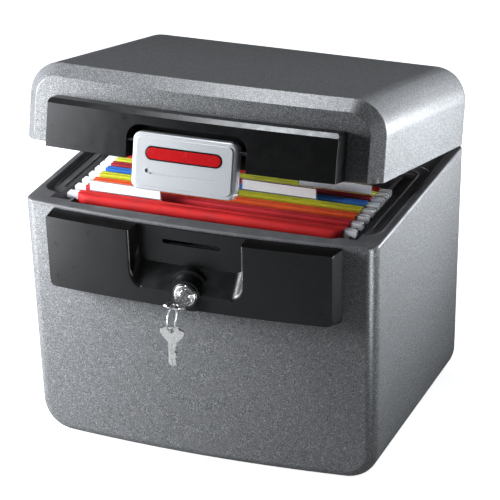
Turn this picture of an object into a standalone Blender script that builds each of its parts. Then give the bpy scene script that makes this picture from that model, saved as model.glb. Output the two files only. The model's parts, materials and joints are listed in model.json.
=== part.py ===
"""Fireproof document box: an insulated body and lid, a spring latch, a key lock and hanging folders.

Metres, +Z up. The origin is the centre of the body's underside, -Y is the front and +X is on the
right as seen from the front. The lid stands ajar at rest. Pieces of the lid are drawn in the closed
position, then turned by the empty that carries them.
"""

import math

import bmesh
import bpy
from mathutils import Matrix, Vector

# Driving dimensions of the box.
WIDTH = 0.395
DEPTH = 0.2934  # front corner to rear face, at the seam
BOW = 0.0126  # the middle of the front stands this far ahead of its corners
BODY_HEIGHT = 0.2740
LID_HEIGHT = 0.0834
LID_AJAR = math.radians(12.75)
SIDE_DRAFT = 0.0045  # each side of the body leans out by this from base to seam
END_DRAFT = 0.0072
BODY_CORNER = 0.033
LID_CORNER = 0.036
BODY_EDGE = 0.011
LID_EDGE = 0.0125
LID_BAND = 0.0128  # flat band round the lid's front
WALL = 0.003
GAP = 0.0003
SEAM_GAP = 0.0006

# The document cavity.
CAVITY_HALF = 0.1535
CAVITY_FRONT = -0.135
CAVITY_BOW = 0.0045
CAVITY_REAR = 0.058
CAVITY_FLOOR = 0.027
LINER = 0.002
LID_HOLLOW = 0.042

# The rim round the cavity.
RIM_BASE = BODY_HEIGHT - 0.0133
RIM_FLOOR = BODY_HEIGHT - 0.004
RIM_EDGE = 0.0075
RIM_STRIP = 0.0237  # the flat part of the rim ahead of the cavity
RAIL_WIDTH = 0.0035
RAIL_TOP = BODY_HEIGHT - 0.0066
TRENCH_FLOOR = BODY_HEIGHT - 0.0113

# Front panels of body and lid.
PANEL_PROUD = 0.0232
PANEL_HALF = 0.1619
PANEL_TAPER = 0.0025
PANEL_LOW, PANEL_HIGH = BODY_HEIGHT - 0.0838, BODY_HEIGHT - 0.0035
RECESS_HALF = 0.0628
RECESS_WALL = 0.003  # its back wall's face, ahead of the box's front
RECESS_LIP, RECESS_HEEL = BODY_HEIGHT - 0.0658, BODY_HEIGHT - 0.0438
SLOT_HALF, SLOT_LOW, SLOT_HIGH = 0.0325, BODY_HEIGHT - 0.0213, BODY_HEIGHT - 0.0162
STRIKE_HALF, STRIKE_BEHIND, STRIKE_THICK = 0.038, 0.0012, 0.0010
STRIKE_LOW, STRIKE_HIGH = SLOT_LOW - 0.0060, SLOT_HIGH + 0.0014
LID_PANEL_PROUD = 0.0221
LID_PANEL_TOP, LID_PANEL_LEDGE = 0.0466, 0.0515
LATCH_BAY_HALF, LATCH_BAY_TOP, LATCH_BAY_CORNER = 0.066, 0.0372, 0.015

# Latch.
LATCH_HALF, LATCH_TOP, LATCH_LOW = 0.0575, 0.0305, -0.029
LATCH_BACK, LATCH_FACE = 0.014, 0.026
LATCH_CORNER = 0.0085
LATCH_PIVOT_PROUD, LATCH_PIVOT_UP = 0.0165, 0.020
LATCH_PIN_RADIUS = 0.002
HOOK_HALF, HOOK_THICK, HOOK_DROP = 0.012, 0.0016, 0.0403
HOOK_TIP, HOOK_LIP = 0.0012, 0.0010  # the tip's place ahead of the box's front, and the lip's height
SPRING_RADIUS, SPRING_WIRE, SPRING_TURNS = 0.0038, 0.0005, 5

# Lock and keys.
LOCK_UP = BODY_HEIGHT - 0.0675
LOCK_FACE, LOCK_ROUNDING = 0.0262, 0.0014
LOCK_RADIUS, LOCK_BODY_RADIUS, PLUG_RADIUS = 0.012, 0.0095, 0.0064
LOCK_REAR = -0.010
CAM_LENGTH, CAM_HALF, CAM_THICK = 0.0497, 0.0045, 0.0018
KEY_THICK = 0.002
KEY_SHOULDER, KEY_BOW = 0.0282, 0.0290  # the shoulder's place ahead of the front, and the bow's length
KEY_HOLE = KEY_SHOULDER + KEY_BOW - 0.006
RING_RADIUS, RING_WIRE, RING_STEPS = 0.013, 0.0009, 24

# Hinges.
HINGE_BACK = 0.004
HINGE_X = 0.110
HINGE_HALF = 0.026
KNUCKLE_RADIUS, HINGE_PIN_RADIUS = 0.0037, 0.0018

# Hanging folders.
FOLDERS = 8
FOLDER_HALF = 0.149
FOLDER_LOW, FOLDER_HIGH = 0.031, BODY_HEIGHT + 0.0006
HEM_LOW = FOLDER_HIGH - 0.0111
HEM_HALF = 0.0017
ROD_OFFSET = 0.0026
ROD_HALF = 0.1628
ROD_THICK = 0.0012
ROD_LOW, ROD_HIGH = FOLDER_HIGH - 0.0102, FOLDER_HIGH - 0.0012
TAB_LOW, TAB_HIGH = FOLDER_HIGH + 0.0006, FOLDER_HIGH + 0.0134

CORNER_STEPS = 6
EDGE_STEPS = 3
BOW_STEPS = 8
ROUND_STEPS = 24

# Surface of each kind of piece: colour, roughness, metallic.
FINISHES = {
    "speckled_plastic": ((0.19, 0.19, 0.21, 1), 0.55, 0),
    "panel_plastic": ((0.022, 0.022, 0.024, 1), 0.35, 0),
    "rim_plastic": ((0.06, 0.06, 0.062, 1), 0.45, 0),
    "insulation": ((0.72, 0.70, 0.66, 1), 0.9, 0),
    "gasket_rubber": ((0.02, 0.02, 0.02, 1), 0.8, 0),
    "latch_paint": ((0.78, 0.78, 0.80, 1), 0.3, 0),
    "badge": ((0.6, 0.02, 0.02, 1), 0.3, 0),
    "chrome": ((0.8, 0.8, 0.8, 1), 0.08, 1),
    "steel": ((0.55, 0.55, 0.56, 1), 0.3, 1),
    "dark_steel": ((0.12, 0.12, 0.12, 1), 0.35, 1),
    "key_metal": ((0.7, 0.69, 0.66, 1), 0.25, 1),
    "tab_card": ((0.85, 0.86, 0.88, 1), 0.4, 0),
    "tab_clear": ((0.6, 0.65, 0.7, 1), 0.15, 0),
}
FOLDER_COLOURS = (
    ("red", (0.70, 0.02, 0.02, 1)),
    ("crimson", (0.62, 0.02, 0.05, 1)),
    ("orange", (0.85, 0.16, 0.02, 1)),
    ("olive", (0.45, 0.47, 0.02, 1)),
    ("blue", (0.03, 0.17, 0.55, 1)),
    ("maroon", (0.30, 0.02, 0.05, 1)),
    ("lime", (0.55, 0.60, 0.05, 1)),
    ("scarlet", (0.70, 0.03, 0.03, 1)),
)


# ---------------------------------------------------------------- scene and pivots

def clear_scene():
    for obj in list(bpy.data.objects):
        bpy.data.objects.remove(obj, do_unlink=True)


def new_collection(name):
    collection = bpy.data.collections.new(name)
    bpy.context.scene.collection.children.link(collection)
    return collection


clear_scene()
PARTS = new_collection("fireproof_document_box")
CUTTERS = new_collection("cutters")
CUTTERS.hide_render = True
CLOSED_AT = {None: Vector((0, 0, 0))}


def add_pivot(name, position, parent=None, turned=(0, 0, 0)):
    """An empty on a joint's axis. Its position is given with the lid closed."""
    empty = bpy.data.objects.new(name, None)
    empty.empty_display_size = 0.02
    PARTS.objects.link(empty)
    CLOSED_AT[name] = Vector(position)
    empty.parent = bpy.data.objects.get(parent) if parent else None
    empty.location = CLOSED_AT[name] - CLOSED_AT[parent]
    empty.rotation_euler = turned
    return empty


def finish(kind, colour=None):
    """The Principled material of one kind of piece."""
    name = kind if colour is None else f"{kind}_{colour[0]}"
    if name in bpy.data.materials:
        return bpy.data.materials[name]
    base, roughness, metallic = FINISHES[kind] if colour is None else (colour[1], 0.7, 0)
    material = bpy.data.materials.new(name)
    material.use_nodes = True
    surface = material.node_tree.nodes["Principled BSDF"]
    surface.inputs["Base Color"].default_value = base
    surface.inputs["Roughness"].default_value = roughness
    surface.inputs["Metallic"].default_value = metallic
    return material


def add_piece(name, bm, material, pivot=None):
    """A named piece from a mesh drawn in the closed box's frame. It hangs on its pivot, if it has one."""
    bmesh.ops.recalc_face_normals(bm, faces=bm.faces)
    mesh = bpy.data.meshes.new(name)
    bm.to_mesh(mesh)
    bm.free()
    mesh.transform(Matrix.Translation(-CLOSED_AT[pivot]))
    mesh.shade_smooth()
    mesh.set_sharp_from_angle(angle=math.radians(32))
    mesh.materials.append(material)
    obj = bpy.data.objects.new(name, mesh)
    obj.parent = bpy.data.objects.get(pivot) if pivot else None
    PARTS.objects.link(obj)
    return obj


def combine(obj, bm, operation="DIFFERENCE"):
    """Cuts a shape from a piece, or joins it on. The shape is drawn in the closed box's frame."""
    pivot = obj.parent.name if obj.parent else None
    bmesh.ops.recalc_face_normals(bm, faces=bm.faces)
    cutter = add_piece(f"{obj.name}_tool_{len(obj.modifiers) + 1}", bm, obj.data.materials[0], pivot)
    PARTS.objects.unlink(cutter)
    CUTTERS.objects.link(cutter)
    cutter.hide_render = True
    cutter.display_type = "WIRE"
    boolean = obj.modifiers.new(f"{operation.lower()}_{len(obj.modifiers) + 1}", "BOOLEAN")
    boolean.operation = operation
    boolean.solver = "EXACT"
    boolean.object = cutter
    return obj


# ---------------------------------------------------------------- shape helpers

def box(low, high):
    """A plain block between two corners."""
    bm = bmesh.new()
    bmesh.ops.create_cube(bm, size=1)
    size = Vector(high) - Vector(low)
    bmesh.ops.scale(bm, vec=size, verts=bm.verts)
    bmesh.ops.translate(bm, vec=Vector(low) + size / 2, verts=bm.verts)
    return bm


def ends_at(edge, axis, value):
    return all(abs(vert.co[axis] - value) < 1e-6 for vert in edge.verts)


def along(edge, axis):
    """True for an edge parallel to an axis."""
    step = edge.verts[0].co - edge.verts[1].co
    return abs(step[axis]) > 0.999 * step.length


def bevel(bm, edges, width, steps=1):
    bmesh.ops.bevel(
        bm, geom=edges, offset=width, offset_type="OFFSET", segments=steps, profile=0.5, affect="EDGES"
    )


def slice_across(bm, half, steps):
    """Cuts a shape into strips along X, so that it can bow."""
    for step in range(1, steps):
        geometry = bm.verts[:] + bm.edges[:] + bm.faces[:]
        plane = Vector((-half + 2 * half * step / steps, 0, 0))
        bmesh.ops.bisect_plane(bm, geom=geometry, dist=1e-7, plane_co=plane, plane_no=(1, 0, 0))


def depth_below_seam(z):
    """How far below the seam a height is, as a share of the body's height."""
    return (BODY_HEIGHT - z) / BODY_HEIGHT


def bowed(bm, bow=BOW):
    """Gives a shape the bowed front of the case."""
    for vert in bm.verts:
        if vert.co.y < 0:
            vert.co.y -= bow * (1 - (2 * vert.co.x / WIDTH) ** 2)
    return bm


def follow_body(bm):
    """Gives a shape the bowed front and the leaning sides of the body."""
    for vert in bowed(bm).verts:
        below = depth_below_seam(vert.co.z)
        side = max(-1.0, min(1.0, 4 * vert.co.x / WIDTH))
        vert.co.x -= side * SIDE_DRAFT * below
        vert.co.y -= math.copysign(END_DRAFT, vert.co.y) * below
    return bm


def front_y(proud, z=BODY_HEIGHT):
    """Y of a point on the centre line that stands proud of the case's front."""
    return -DEPTH / 2 - BOW + END_DRAFT * depth_below_seam(z) - proud


def case_block(inset, low, high, corner, edge, open_at, front_band=None):
    """A block with the case's outline, drawn in by an inset, with rounded corners and edges.

    corner rounds the two long edges at the closed end. open_at is the height of the open end, left square.
    front_band is the width of a flat band that takes the place of the front's rounded edge.
    """
    half, front, rear = WIDTH / 2 - inset, -DEPTH / 2 + inset, DEPTH / 2 - inset
    bm = box((-half, front, low), (half, rear, high))
    closed = low if open_at == high else high
    long_edges = [e for e in bm.edges if along(e, 1) and ends_at(e, 2, closed)]
    bevel(bm, long_edges, corner - inset, CORNER_STEPS)
    front_style = (front_band, 1) if front_band else (edge, EDGE_STEPS)
    for y, (width, steps) in ((front, front_style), (rear, (edge, EDGE_STEPS))):
        rounding = [e for e in bm.edges if ends_at(e, 1, y) and not ends_at(e, 2, open_at)]
        bevel(bm, rounding, width - inset, steps)
    slice_across(bm, half, BOW_STEPS)
    return bm


def rounded_plan(low, high, radius, steps=4):
    """A block whose upright edges are rounded."""
    bm = box(low, high)
    bevel(bm, [e for e in bm.edges if along(e, 2)], radius, steps)
    return bm


def rod(radius, start, end, steps=ROUND_STEPS, end_radius=None):
    """A cylinder or a cone between two points."""
    start, end = Vector(start), Vector(end)
    bm = bmesh.new()
    top = radius if end_radius is None else end_radius
    length = (end - start).length
    bmesh.ops.create_cone(bm, cap_ends=True, segments=steps, radius1=radius, radius2=top, depth=length)
    turn = Vector((0, 0, 1)).rotation_difference(end - start).to_matrix().to_4x4()
    bmesh.ops.transform(bm, matrix=Matrix.Translation((start + end) / 2) @ turn, verts=bm.verts)
    return bm


def mesh_of_curve(curve):
    """The closed mesh of a curve, with its caps welded on."""
    guide = bpy.data.objects.new("guide", curve)
    CUTTERS.objects.link(guide)
    graph = bpy.context.evaluated_depsgraph_get()
    mesh = bpy.data.meshes.new_from_object(guide.evaluated_get(graph))
    bm = bmesh.new()
    bm.from_mesh(mesh)
    bmesh.ops.remove_doubles(bm, verts=bm.verts, dist=1e-6)
    bpy.data.objects.remove(guide)
    return bm


def sheet(outline, thickness, place, holes=()):
    """A flat outline of XY points with thickness, moved to its place by a matrix."""
    curve = bpy.data.curves.new("outline", "CURVE")
    curve.dimensions = "2D"
    curve.fill_mode = "BOTH"
    curve.extrude = thickness / 2
    for points in (outline, *holes):
        spline = curve.splines.new("POLY")
        spline.points.add(len(points) - 1)
        for point, (u, v) in zip(spline.points, points):
            point.co = (u, v, 0, 1)
        spline.use_cyclic_u = True
    bm = mesh_of_curve(curve)
    bmesh.ops.transform(bm, matrix=place, verts=bm.verts)
    return bm


def wire(points, radius, closed=False):
    curve = bpy.data.curves.new("wire", "CURVE")
    curve.dimensions = "3D"
    curve.bevel_depth = radius
    curve.bevel_resolution = 2
    curve.use_fill_caps = not closed
    spline = curve.splines.new("POLY")
    spline.points.add(len(points) - 1)
    for point, co in zip(spline.points, points):
        point.co = (*co, 1)
    spline.use_cyclic_u = closed
    return mesh_of_curve(curve)


def arc(centre, radius, start, end, steps):
    """Points on an arc, with its angles in degrees."""
    angles = [math.radians(start + (end - start) * step / steps) for step in range(steps + 1)]
    return [(centre[0] + radius * math.cos(a), centre[1] + radius * math.sin(a)) for a in angles]


# Turns the XY plane of an outline into the upright XZ plane, or into the YZ plane.
UPRIGHT_XZ = Matrix(((1, 0, 0, 0), (0, 0, -1, 0), (0, 1, 0, 0), (0, 0, 0, 1)))
UPRIGHT_YZ = Matrix(((0, 0, 1, 0), (1, 0, 0, 0), (0, 1, 0, 0), (0, 0, 0, 1)))


def at(x, y, z):
    return Matrix.Translation((x, y, z))


def trimmed(bm, height, keep):
    """The part of a shape above a height if keep is 1, or below it if keep is -1, closed again."""
    geometry = bm.verts[:] + bm.edges[:] + bm.faces[:]
    cut = bmesh.ops.bisect_plane(
        bm, geom=geometry, dist=1e-7, plane_co=(0, 0, height), plane_no=(0, 0, -keep), clear_outer=True
    )
    edges = [item for item in cut["geom_cut"] if isinstance(item, bmesh.types.BMEdge)]
    bmesh.ops.edgeloop_fill(bm, edges=edges)
    return bm


def boolean_of(first, second, operation):
    """One closed shape from two."""
    objects = []
    for bm in (first, second):
        bmesh.ops.recalc_face_normals(bm, faces=bm.faces)
        mesh = bpy.data.meshes.new("operand")
        bm.to_mesh(mesh)
        bm.free()
        objects.append(bpy.data.objects.new("operand", mesh))
        CUTTERS.objects.link(objects[-1])
    boolean = objects[0].modifiers.new(operation.lower(), "BOOLEAN")
    boolean.operation = operation
    boolean.solver = "EXACT"
    boolean.object = objects[1]
    graph = bpy.context.evaluated_depsgraph_get()
    result = bmesh.new()
    result.from_mesh(bpy.data.meshes.new_from_object(objects[0].evaluated_get(graph)))
    for obj in objects:
        bpy.data.objects.remove(obj)
    return result


# ---------------------------------------------------------------- body

def body_shell():
    speckled = finish("speckled_plastic")
    top = BODY_HEIGHT - WALL
    shell = add_piece(
        "body_shell",
        follow_body(case_block(0, 0, top, BODY_CORNER, BODY_EDGE, open_at=top)),
        speckled,
    )
    hollow_top = BODY_HEIGHT + 0.01
    hollow = case_block(WALL, WALL, hollow_top, BODY_CORNER, BODY_EDGE, open_at=hollow_top)
    combine(shell, follow_body(hollow))
    combine(shell, lock_window())


def lock_window():
    """The opening behind the lock and the slot, where the cam and the hook move."""
    return box((-0.045, front_y(0.02), PANEL_LOW), (0.054, CAVITY_FRONT, RIM_BASE - 0.0013))


def cavity_block(grow, floor, top):
    """The document cavity, grown outwards."""
    low = (-CAVITY_HALF - grow, CAVITY_FRONT - grow, floor)
    high = (CAVITY_HALF + grow, CAVITY_REAR + grow, top)
    bm = rounded_plan(low, high, 0.010 + grow)
    slice_across(bm, CAVITY_HALF + grow, BOW_STEPS)
    for vert in bm.verts:
        if vert.co.y < 0:
            vert.co.y -= CAVITY_BOW * (1 - (vert.co.x / CAVITY_HALF) ** 2)
    return bm


def body_insulation():
    inset, top = WALL + GAP, RIM_BASE - GAP
    block = case_block(inset, inset, top, BODY_CORNER, BODY_EDGE, open_at=top)
    filling = add_piece("body_insulation", follow_body(block), finish("insulation"))
    combine(filling, cavity_block(LINER + GAP, CAVITY_FLOOR - LINER - GAP, BODY_HEIGHT))
    combine(filling, lock_window())


def body_liner():
    top = RIM_BASE - GAP
    liner = add_piece("body_liner", cavity_block(LINER, CAVITY_FLOOR - LINER, top), finish("rim_plastic"))
    combine(liner, cavity_block(0, CAVITY_FLOOR, BODY_HEIGHT))


def rim_bowl():
    """The shallow bowl round the sides and back of the rim, with sloping sides."""
    inset, front = RIM_EDGE, -DEPTH / 2 + RIM_STRIP
    top = BODY_HEIGHT + 0.004
    bm = box((-WIDTH / 2 + inset, front, RIM_FLOOR), (WIDTH / 2 - inset, DEPTH / 2 - inset, top))
    bevel(bm, [e for e in bm.edges if along(e, 2)], 0.016, 4)
    for vert in bm.verts:
        if vert.co.z < BODY_HEIGHT:
            vert.co.x *= 1 - 0.004 / (WIDTH / 2)
            vert.co.y *= 1 - 0.004 / (DEPTH / 2)
    slice_across(bm, WIDTH / 2 - inset, BOW_STEPS)
    return follow_body(bm)


def rim_trench(side):
    """The groove outside a folder rail, which gives the folder hooks their room."""
    inner, outer = CAVITY_HALF + RAIL_WIDTH, CAVITY_HALF + 0.0135
    low = (min(side * inner, side * outer), CAVITY_FRONT + 0.001, TRENCH_FLOOR)
    high = (max(side * inner, side * outer), CAVITY_REAR - 0.001, BODY_HEIGHT + 0.002)
    bm = box(low, high)
    for vert in bm.verts:
        if vert.co.z > BODY_HEIGHT and abs(vert.co.x) > inner + 0.001:
            vert.co.x += side * 0.006
    return bm


def seal_rib(half, rear):
    """A low rib round the sides and back of the cavity."""
    radius, front = 0.016, -0.096
    right = [(half, front), *arc((half - radius, rear - radius), radius, 0, 90, 5)]
    left = [(-x, y) for x, y in reversed(right)]
    return wire([(x, y, RIM_FLOOR) for x, y in right + left], 0.0010)


def body_rim():
    """A flange over the shell's edge and a thicker plate inside it, with bowl and rails cut into them."""
    flange_low = BODY_HEIGHT - WALL + GAP
    inset = WALL + GAP
    flange = case_block(0, 0, BODY_HEIGHT, BODY_CORNER, BODY_EDGE, open_at=BODY_HEIGHT)
    plate_top = flange_low + 0.001
    plate = case_block(inset, inset, plate_top, BODY_CORNER, BODY_EDGE, open_at=plate_top)
    rim = add_piece("body_rim", trimmed(follow_body(flange), flange_low, keep=1), finish("rim_plastic"))
    combine(rim, trimmed(follow_body(plate), RIM_BASE, keep=1), "UNION")
    combine(rim, rim_bowl())
    combine(rim, cavity_block(0, RIM_BASE - 0.05, BODY_HEIGHT + 0.01))
    reach = CAVITY_HALF + RAIL_WIDTH + 0.001
    rail_front, rail_rear = CAVITY_FRONT + 0.001, CAVITY_REAR - 0.001
    combine(rim, box((-reach, rail_front, RAIL_TOP), (reach, rail_rear, BODY_HEIGHT + 0.002)))
    for side in (-1, 1):
        combine(rim, rim_trench(side))
    for half, rear in ((0.1740, 0.070), (0.1835, 0.079)):
        combine(rim, seal_rib(half, rear), "UNION")


def body_front_panel():
    low_base = PANEL_LOW - 0.006
    bm = box((-PANEL_HALF, -PANEL_PROUD, low_base), (PANEL_HALF, -GAP, PANEL_HIGH))
    for vert in bm.verts:
        if vert.co.y < -0.01:
            vert.co.x *= 1 - PANEL_TAPER / PANEL_HALF
            vert.co.z = max(vert.co.z, PANEL_LOW)
    deep = [e for e in bm.edges if abs(e.verts[0].co.y - e.verts[1].co.y) > 0.01]
    upper = [e for e in deep if e.verts[0].co.z > SLOT_LOW]
    lower = [e for e in deep if e.verts[0].co.z < SLOT_LOW]
    bevel(bm, upper, 0.002, 1)
    bevel(bm, lower, 0.006, 3)
    face = [e for e in bm.edges if ends_at(e, 1, -PANEL_PROUD)]
    bevel(bm, face, 0.0016, 2)
    slice_across(bm, PANEL_HALF, BOW_STEPS)
    bmesh.ops.translate(bm, vec=(0, -DEPTH / 2, 0), verts=bm.verts)
    panel = add_piece("body_front_panel", follow_body(bm), finish("panel_plastic"))
    combine(panel, latch_recess())
    combine(panel, lock_boss(), "UNION")
    lock_y = front_y(0, LOCK_UP)
    combine(panel, rod(LOCK_BODY_RADIUS + GAP, (0, lock_y - 0.05, LOCK_UP), (0, lock_y + 0.01, LOCK_UP)))
    slot = box((-SLOT_HALF, front_y(0.01), SLOT_LOW), (SLOT_HALF, front_y(-0.01), SLOT_HIGH))
    combine(panel, slot)


def latch_recess():
    """The scoop in the body's panel, open at the top, with a floor that slopes down to the front."""
    outside = PANEL_PROUD + 0.010
    steepness = (RECESS_HEEL - RECESS_LIP) / (PANEL_PROUD - RECESS_WALL)
    low = RECESS_HEEL - steepness * (outside - RECESS_WALL)
    bm = box((-RECESS_HALF, -outside, low), (RECESS_HALF, -RECESS_WALL, BODY_HEIGHT + 0.01))
    for vert in bm.verts:
        if vert.co.y > -0.01 and vert.co.z < BODY_HEIGHT:
            vert.co.z = RECESS_HEEL
        if vert.co.y > -0.01:
            vert.co.x *= 0.975
    floor = [e for e in bm.edges if not along(e, 0) and all(v.co.z < BODY_HEIGHT - 0.01 for v in e.verts)]
    bevel(bm, floor, 0.012, 4)
    slice_across(bm, RECESS_HALF, 4)
    bmesh.ops.translate(bm, vec=(0, -DEPTH / 2, 0), verts=bm.verts)
    return follow_body(bm)


def lock_boss():
    """The stepped round boss that carries the lock, rising out of the scoop's floor."""
    y = front_y(0, LOCK_UP)
    bm = rod(0.0245, (0, y - 0.0015, LOCK_UP), (0, y - 0.0125, LOCK_UP), ROUND_STEPS + 8, 0.0235)
    face = y - PANEL_PROUD - 0.0004
    inner = rod(0.0195, (0, y - 0.0120, LOCK_UP), (0, face, LOCK_UP), ROUND_STEPS + 8, 0.0165)
    return boolean_of(bm, inner, "UNION")


def strike_plate():
    """Steel plate behind the slot, which the latch hook catches."""
    near = front_y(0) + STRIKE_BEHIND
    block = box((-STRIKE_HALF, near, STRIKE_LOW), (STRIKE_HALF, near + STRIKE_THICK, STRIKE_HIGH))
    plate = add_piece("strike_plate", block, finish("steel"))
    combine(plate, box((-SLOT_HALF, near - 0.01, SLOT_LOW), (SLOT_HALF, near + 0.01, SLOT_HIGH)))


# ---------------------------------------------------------------- lock and keys

def turned(profile, centre, steps=ROUND_STEPS):
    """A round solid about an axis along Y. The profile gives radius and distance ahead of the centre."""
    curve = [(0.0, profile[0][1]), *profile, (0.0, profile[-1][1])]
    bm = bmesh.new()
    verts = [bm.verts.new((radius, -ahead, 0)) for radius, ahead in curve]
    for first, second in zip(verts, verts[1:]):
        bm.edges.new((first, second))
    geometry = bm.verts[:] + bm.edges[:]
    bmesh.ops.spin(
        bm, geom=geometry, cent=(0, 0, 0), axis=(0, 1, 0), angle=math.tau, steps=steps, use_merge=True
    )
    bmesh.ops.remove_doubles(bm, verts=bm.verts, dist=1e-6)
    bmesh.ops.translate(bm, vec=centre, verts=bm.verts)
    return bm


def lock_centre():
    return (0, front_y(0, LOCK_UP), LOCK_UP)


def lock_pieces():
    centre = lock_centre()
    x, y, z = centre
    through = ((x, y - 0.05, z), (x, y + 0.05, z))
    flange = PANEL_PROUD + 0.0008
    rim = LOCK_RADIUS - LOCK_ROUNDING, LOCK_FACE - LOCK_ROUNDING
    edge = arc(rim, LOCK_ROUNDING, 0, 90, 3)
    profile = [(LOCK_BODY_RADIUS, LOCK_REAR + 0.002), (LOCK_BODY_RADIUS, flange), (LOCK_RADIUS, flange)]
    housing = add_piece("lock_housing", turned([*profile, *edge], centre), finish("chrome"))
    combine(housing, rod(PLUG_RADIUS + GAP, *through))
    profile = [(0.0138, flange), (0.0138, flange + 0.0006), (0.0130, flange + 0.0014)]
    bezel = add_piece("lock_bezel", turned(profile, centre), finish("dark_steel"))
    combine(bezel, rod(LOCK_RADIUS + GAP, *through))
    nut = add_piece("lock_nut", rod(0.0135, (x, y + 0.0040, z), (x, y + 0.0070, z), 6), finish("steel"))
    combine(nut, rod(LOCK_BODY_RADIUS + GAP, *through))
    face = LOCK_FACE + 0.0002
    profile = [(PLUG_RADIUS, LOCK_REAR), (PLUG_RADIUS, face - 0.0006), (PLUG_RADIUS - 0.0006, face)]
    plug = add_piece("lock_plug", turned(profile, centre), finish("chrome"), "lock_axis")
    combine(plug, box((x - 0.0046, y - 0.05, z - 0.0013), (x + 0.0046, y + 0.001, z + 0.0013)))
    tail = y - LOCK_REAR
    combine(plug, box((x - 0.002, tail - 0.001, z - 0.002), (x + 0.002, tail + 0.003, z + 0.002)), "UNION")


def lock_cam():
    """Steel arm on the plug's tail, its end bent forward.

    Turned up, the bent end stands just below the latch hook, so the hook can't come out of its slot.
    """
    x, y, z = lock_centre()
    length, arm = CAM_LENGTH - CAM_HALF, y - LOCK_REAR + 0.0013
    outline = [*arc((0, 0), 0.0075, 45, 315, 10), (length, -CAM_HALF), (length, CAM_HALF)]
    plate = sheet(outline, CAM_THICK, at(x, arm, z) @ UPRIGHT_XZ)
    cam = add_piece("lock_cam", plate, finish("steel"), "lock_axis")
    reach = 0.002 + GAP
    combine(cam, box((x - reach, y, z - reach), (x + reach, y + 0.05, z + reach)))
    tip_y = front_y(0) + STRIKE_BEHIND + STRIKE_THICK + 2 * GAP
    bend = box((x + length - 0.0015, tip_y, z - CAM_HALF), (x + CAM_LENGTH, arm, z + CAM_HALF))
    combine(cam, bend, "UNION")


def key_outline(bow_half, bow_long, blade_half, blade_long):
    """A key seen flat, its shoulder at the origin: a bow with cut corners above a pointed blade."""
    neck = blade_half + 0.0012
    right = [
        (blade_half, -blade_long + 0.004),
        (blade_half, -0.001),
        (neck, 0.0),
        (bow_half * 0.72, 0.0022),
        (bow_half, bow_long - 0.0065),
        (bow_half - 0.0012, bow_long - 0.0030),
        (bow_half - 0.0048, bow_long),
    ]
    left = [(-u, v) for u, v in reversed(right)]
    tip = (0.0, -blade_long)
    return [tip, *right, *left]


def ring_hole(centre, radius, axis):
    reach = Vector(axis) * 0.01
    return rod(radius, Vector(centre) - reach, Vector(centre) + reach, 16)


def key_in_lock():
    """The working key, lying flat in the keyway."""
    x, y, z = lock_centre()
    outline = key_outline(0.0125, KEY_BOW, 0.0042, 0.0260)
    place = at(x, y - KEY_SHOULDER, z) @ Matrix.Diagonal((1, -1, 1, 1))
    key = add_piece("key_in_lock", sheet(outline, KEY_THICK, place), finish("key_metal"), "lock_axis")
    combine(key, ring_hole((x, y - KEY_HOLE, z), 0.0036, (0, 0, 1)))


def ring_centre():
    """The ring's inside rests on the key's bow, so its middle is below and ahead of the bow's hole."""
    x, y, z = lock_centre()
    drop = RING_RADIUS - RING_WIRE - KEY_THICK / 2 - 5 * GAP
    ahead = math.sqrt(RING_RADIUS**2 - drop**2)
    return (x, y - KEY_HOLE - ahead, z - drop)


def key_ring():
    x, y, z = ring_centre()
    angles = [math.tau * step / RING_STEPS for step in range(RING_STEPS)]
    points = [(x, y + RING_RADIUS * math.sin(a), z + RING_RADIUS * math.cos(a)) for a in angles]
    add_piece("key_ring", wire(points, RING_WIRE, closed=True), finish("chrome"), "ring_axis")


def spare_key():
    """The second key, hanging face-on from the ring."""
    x, y, z = ring_centre()
    hole_radius, bow = 0.0024, 0.0165
    hole_up = z - RING_RADIUS + RING_WIRE + GAP - hole_radius
    outline = key_outline(0.0140, bow, 0.0046, 0.0290)
    place = at(x, y, hole_up - bow + 0.0045) @ UPRIGHT_XZ
    key = add_piece("spare_key", sheet(outline, KEY_THICK, place), finish("key_metal"), "spare_axis")
    combine(key, ring_hole((x, y, hole_up), hole_radius, (0, 1, 0)))


# ---------------------------------------------------------------- lid

LID_LOW = BODY_HEIGHT + SEAM_GAP
LID_TOP = BODY_HEIGHT + LID_HEIGHT


def lid_block(inset, low, top):
    return bowed(case_block(inset, low, top, LID_CORNER, LID_EDGE, front_band=LID_BAND, open_at=low))


def lid_shell():
    shell = add_piece("lid_shell", lid_block(0, LID_LOW, LID_TOP), finish("speckled_plastic"), "lid_axis")
    combine(shell, lid_block(WALL, LID_LOW - 0.01, LID_TOP - WALL))


def lid_cavity(grow, low, high):
    corner_low = (-CAVITY_HALF - grow, CAVITY_FRONT - grow, low)
    bm = rounded_plan(corner_low, (CAVITY_HALF + grow, CAVITY_REAR + grow, high), 0.012 + grow)
    slice_across(bm, CAVITY_HALF + grow, BOW_STEPS)
    for vert in bm.verts:
        if vert.co.y < 0:
            vert.co.y -= CAVITY_BOW * (1 - (vert.co.x / CAVITY_HALF) ** 2)
    return bm


def lid_insulation():
    plate_top = LID_LOW + 0.0050
    inset = WALL + GAP
    block = lid_block(inset, plate_top + GAP, LID_TOP - inset)
    filling = add_piece("lid_insulation", block, finish("insulation"), "lid_axis")
    combine(filling, lid_cavity(LINER + GAP, LID_LOW - 0.01, BODY_HEIGHT + LID_HOLLOW + LINER + GAP))


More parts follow.
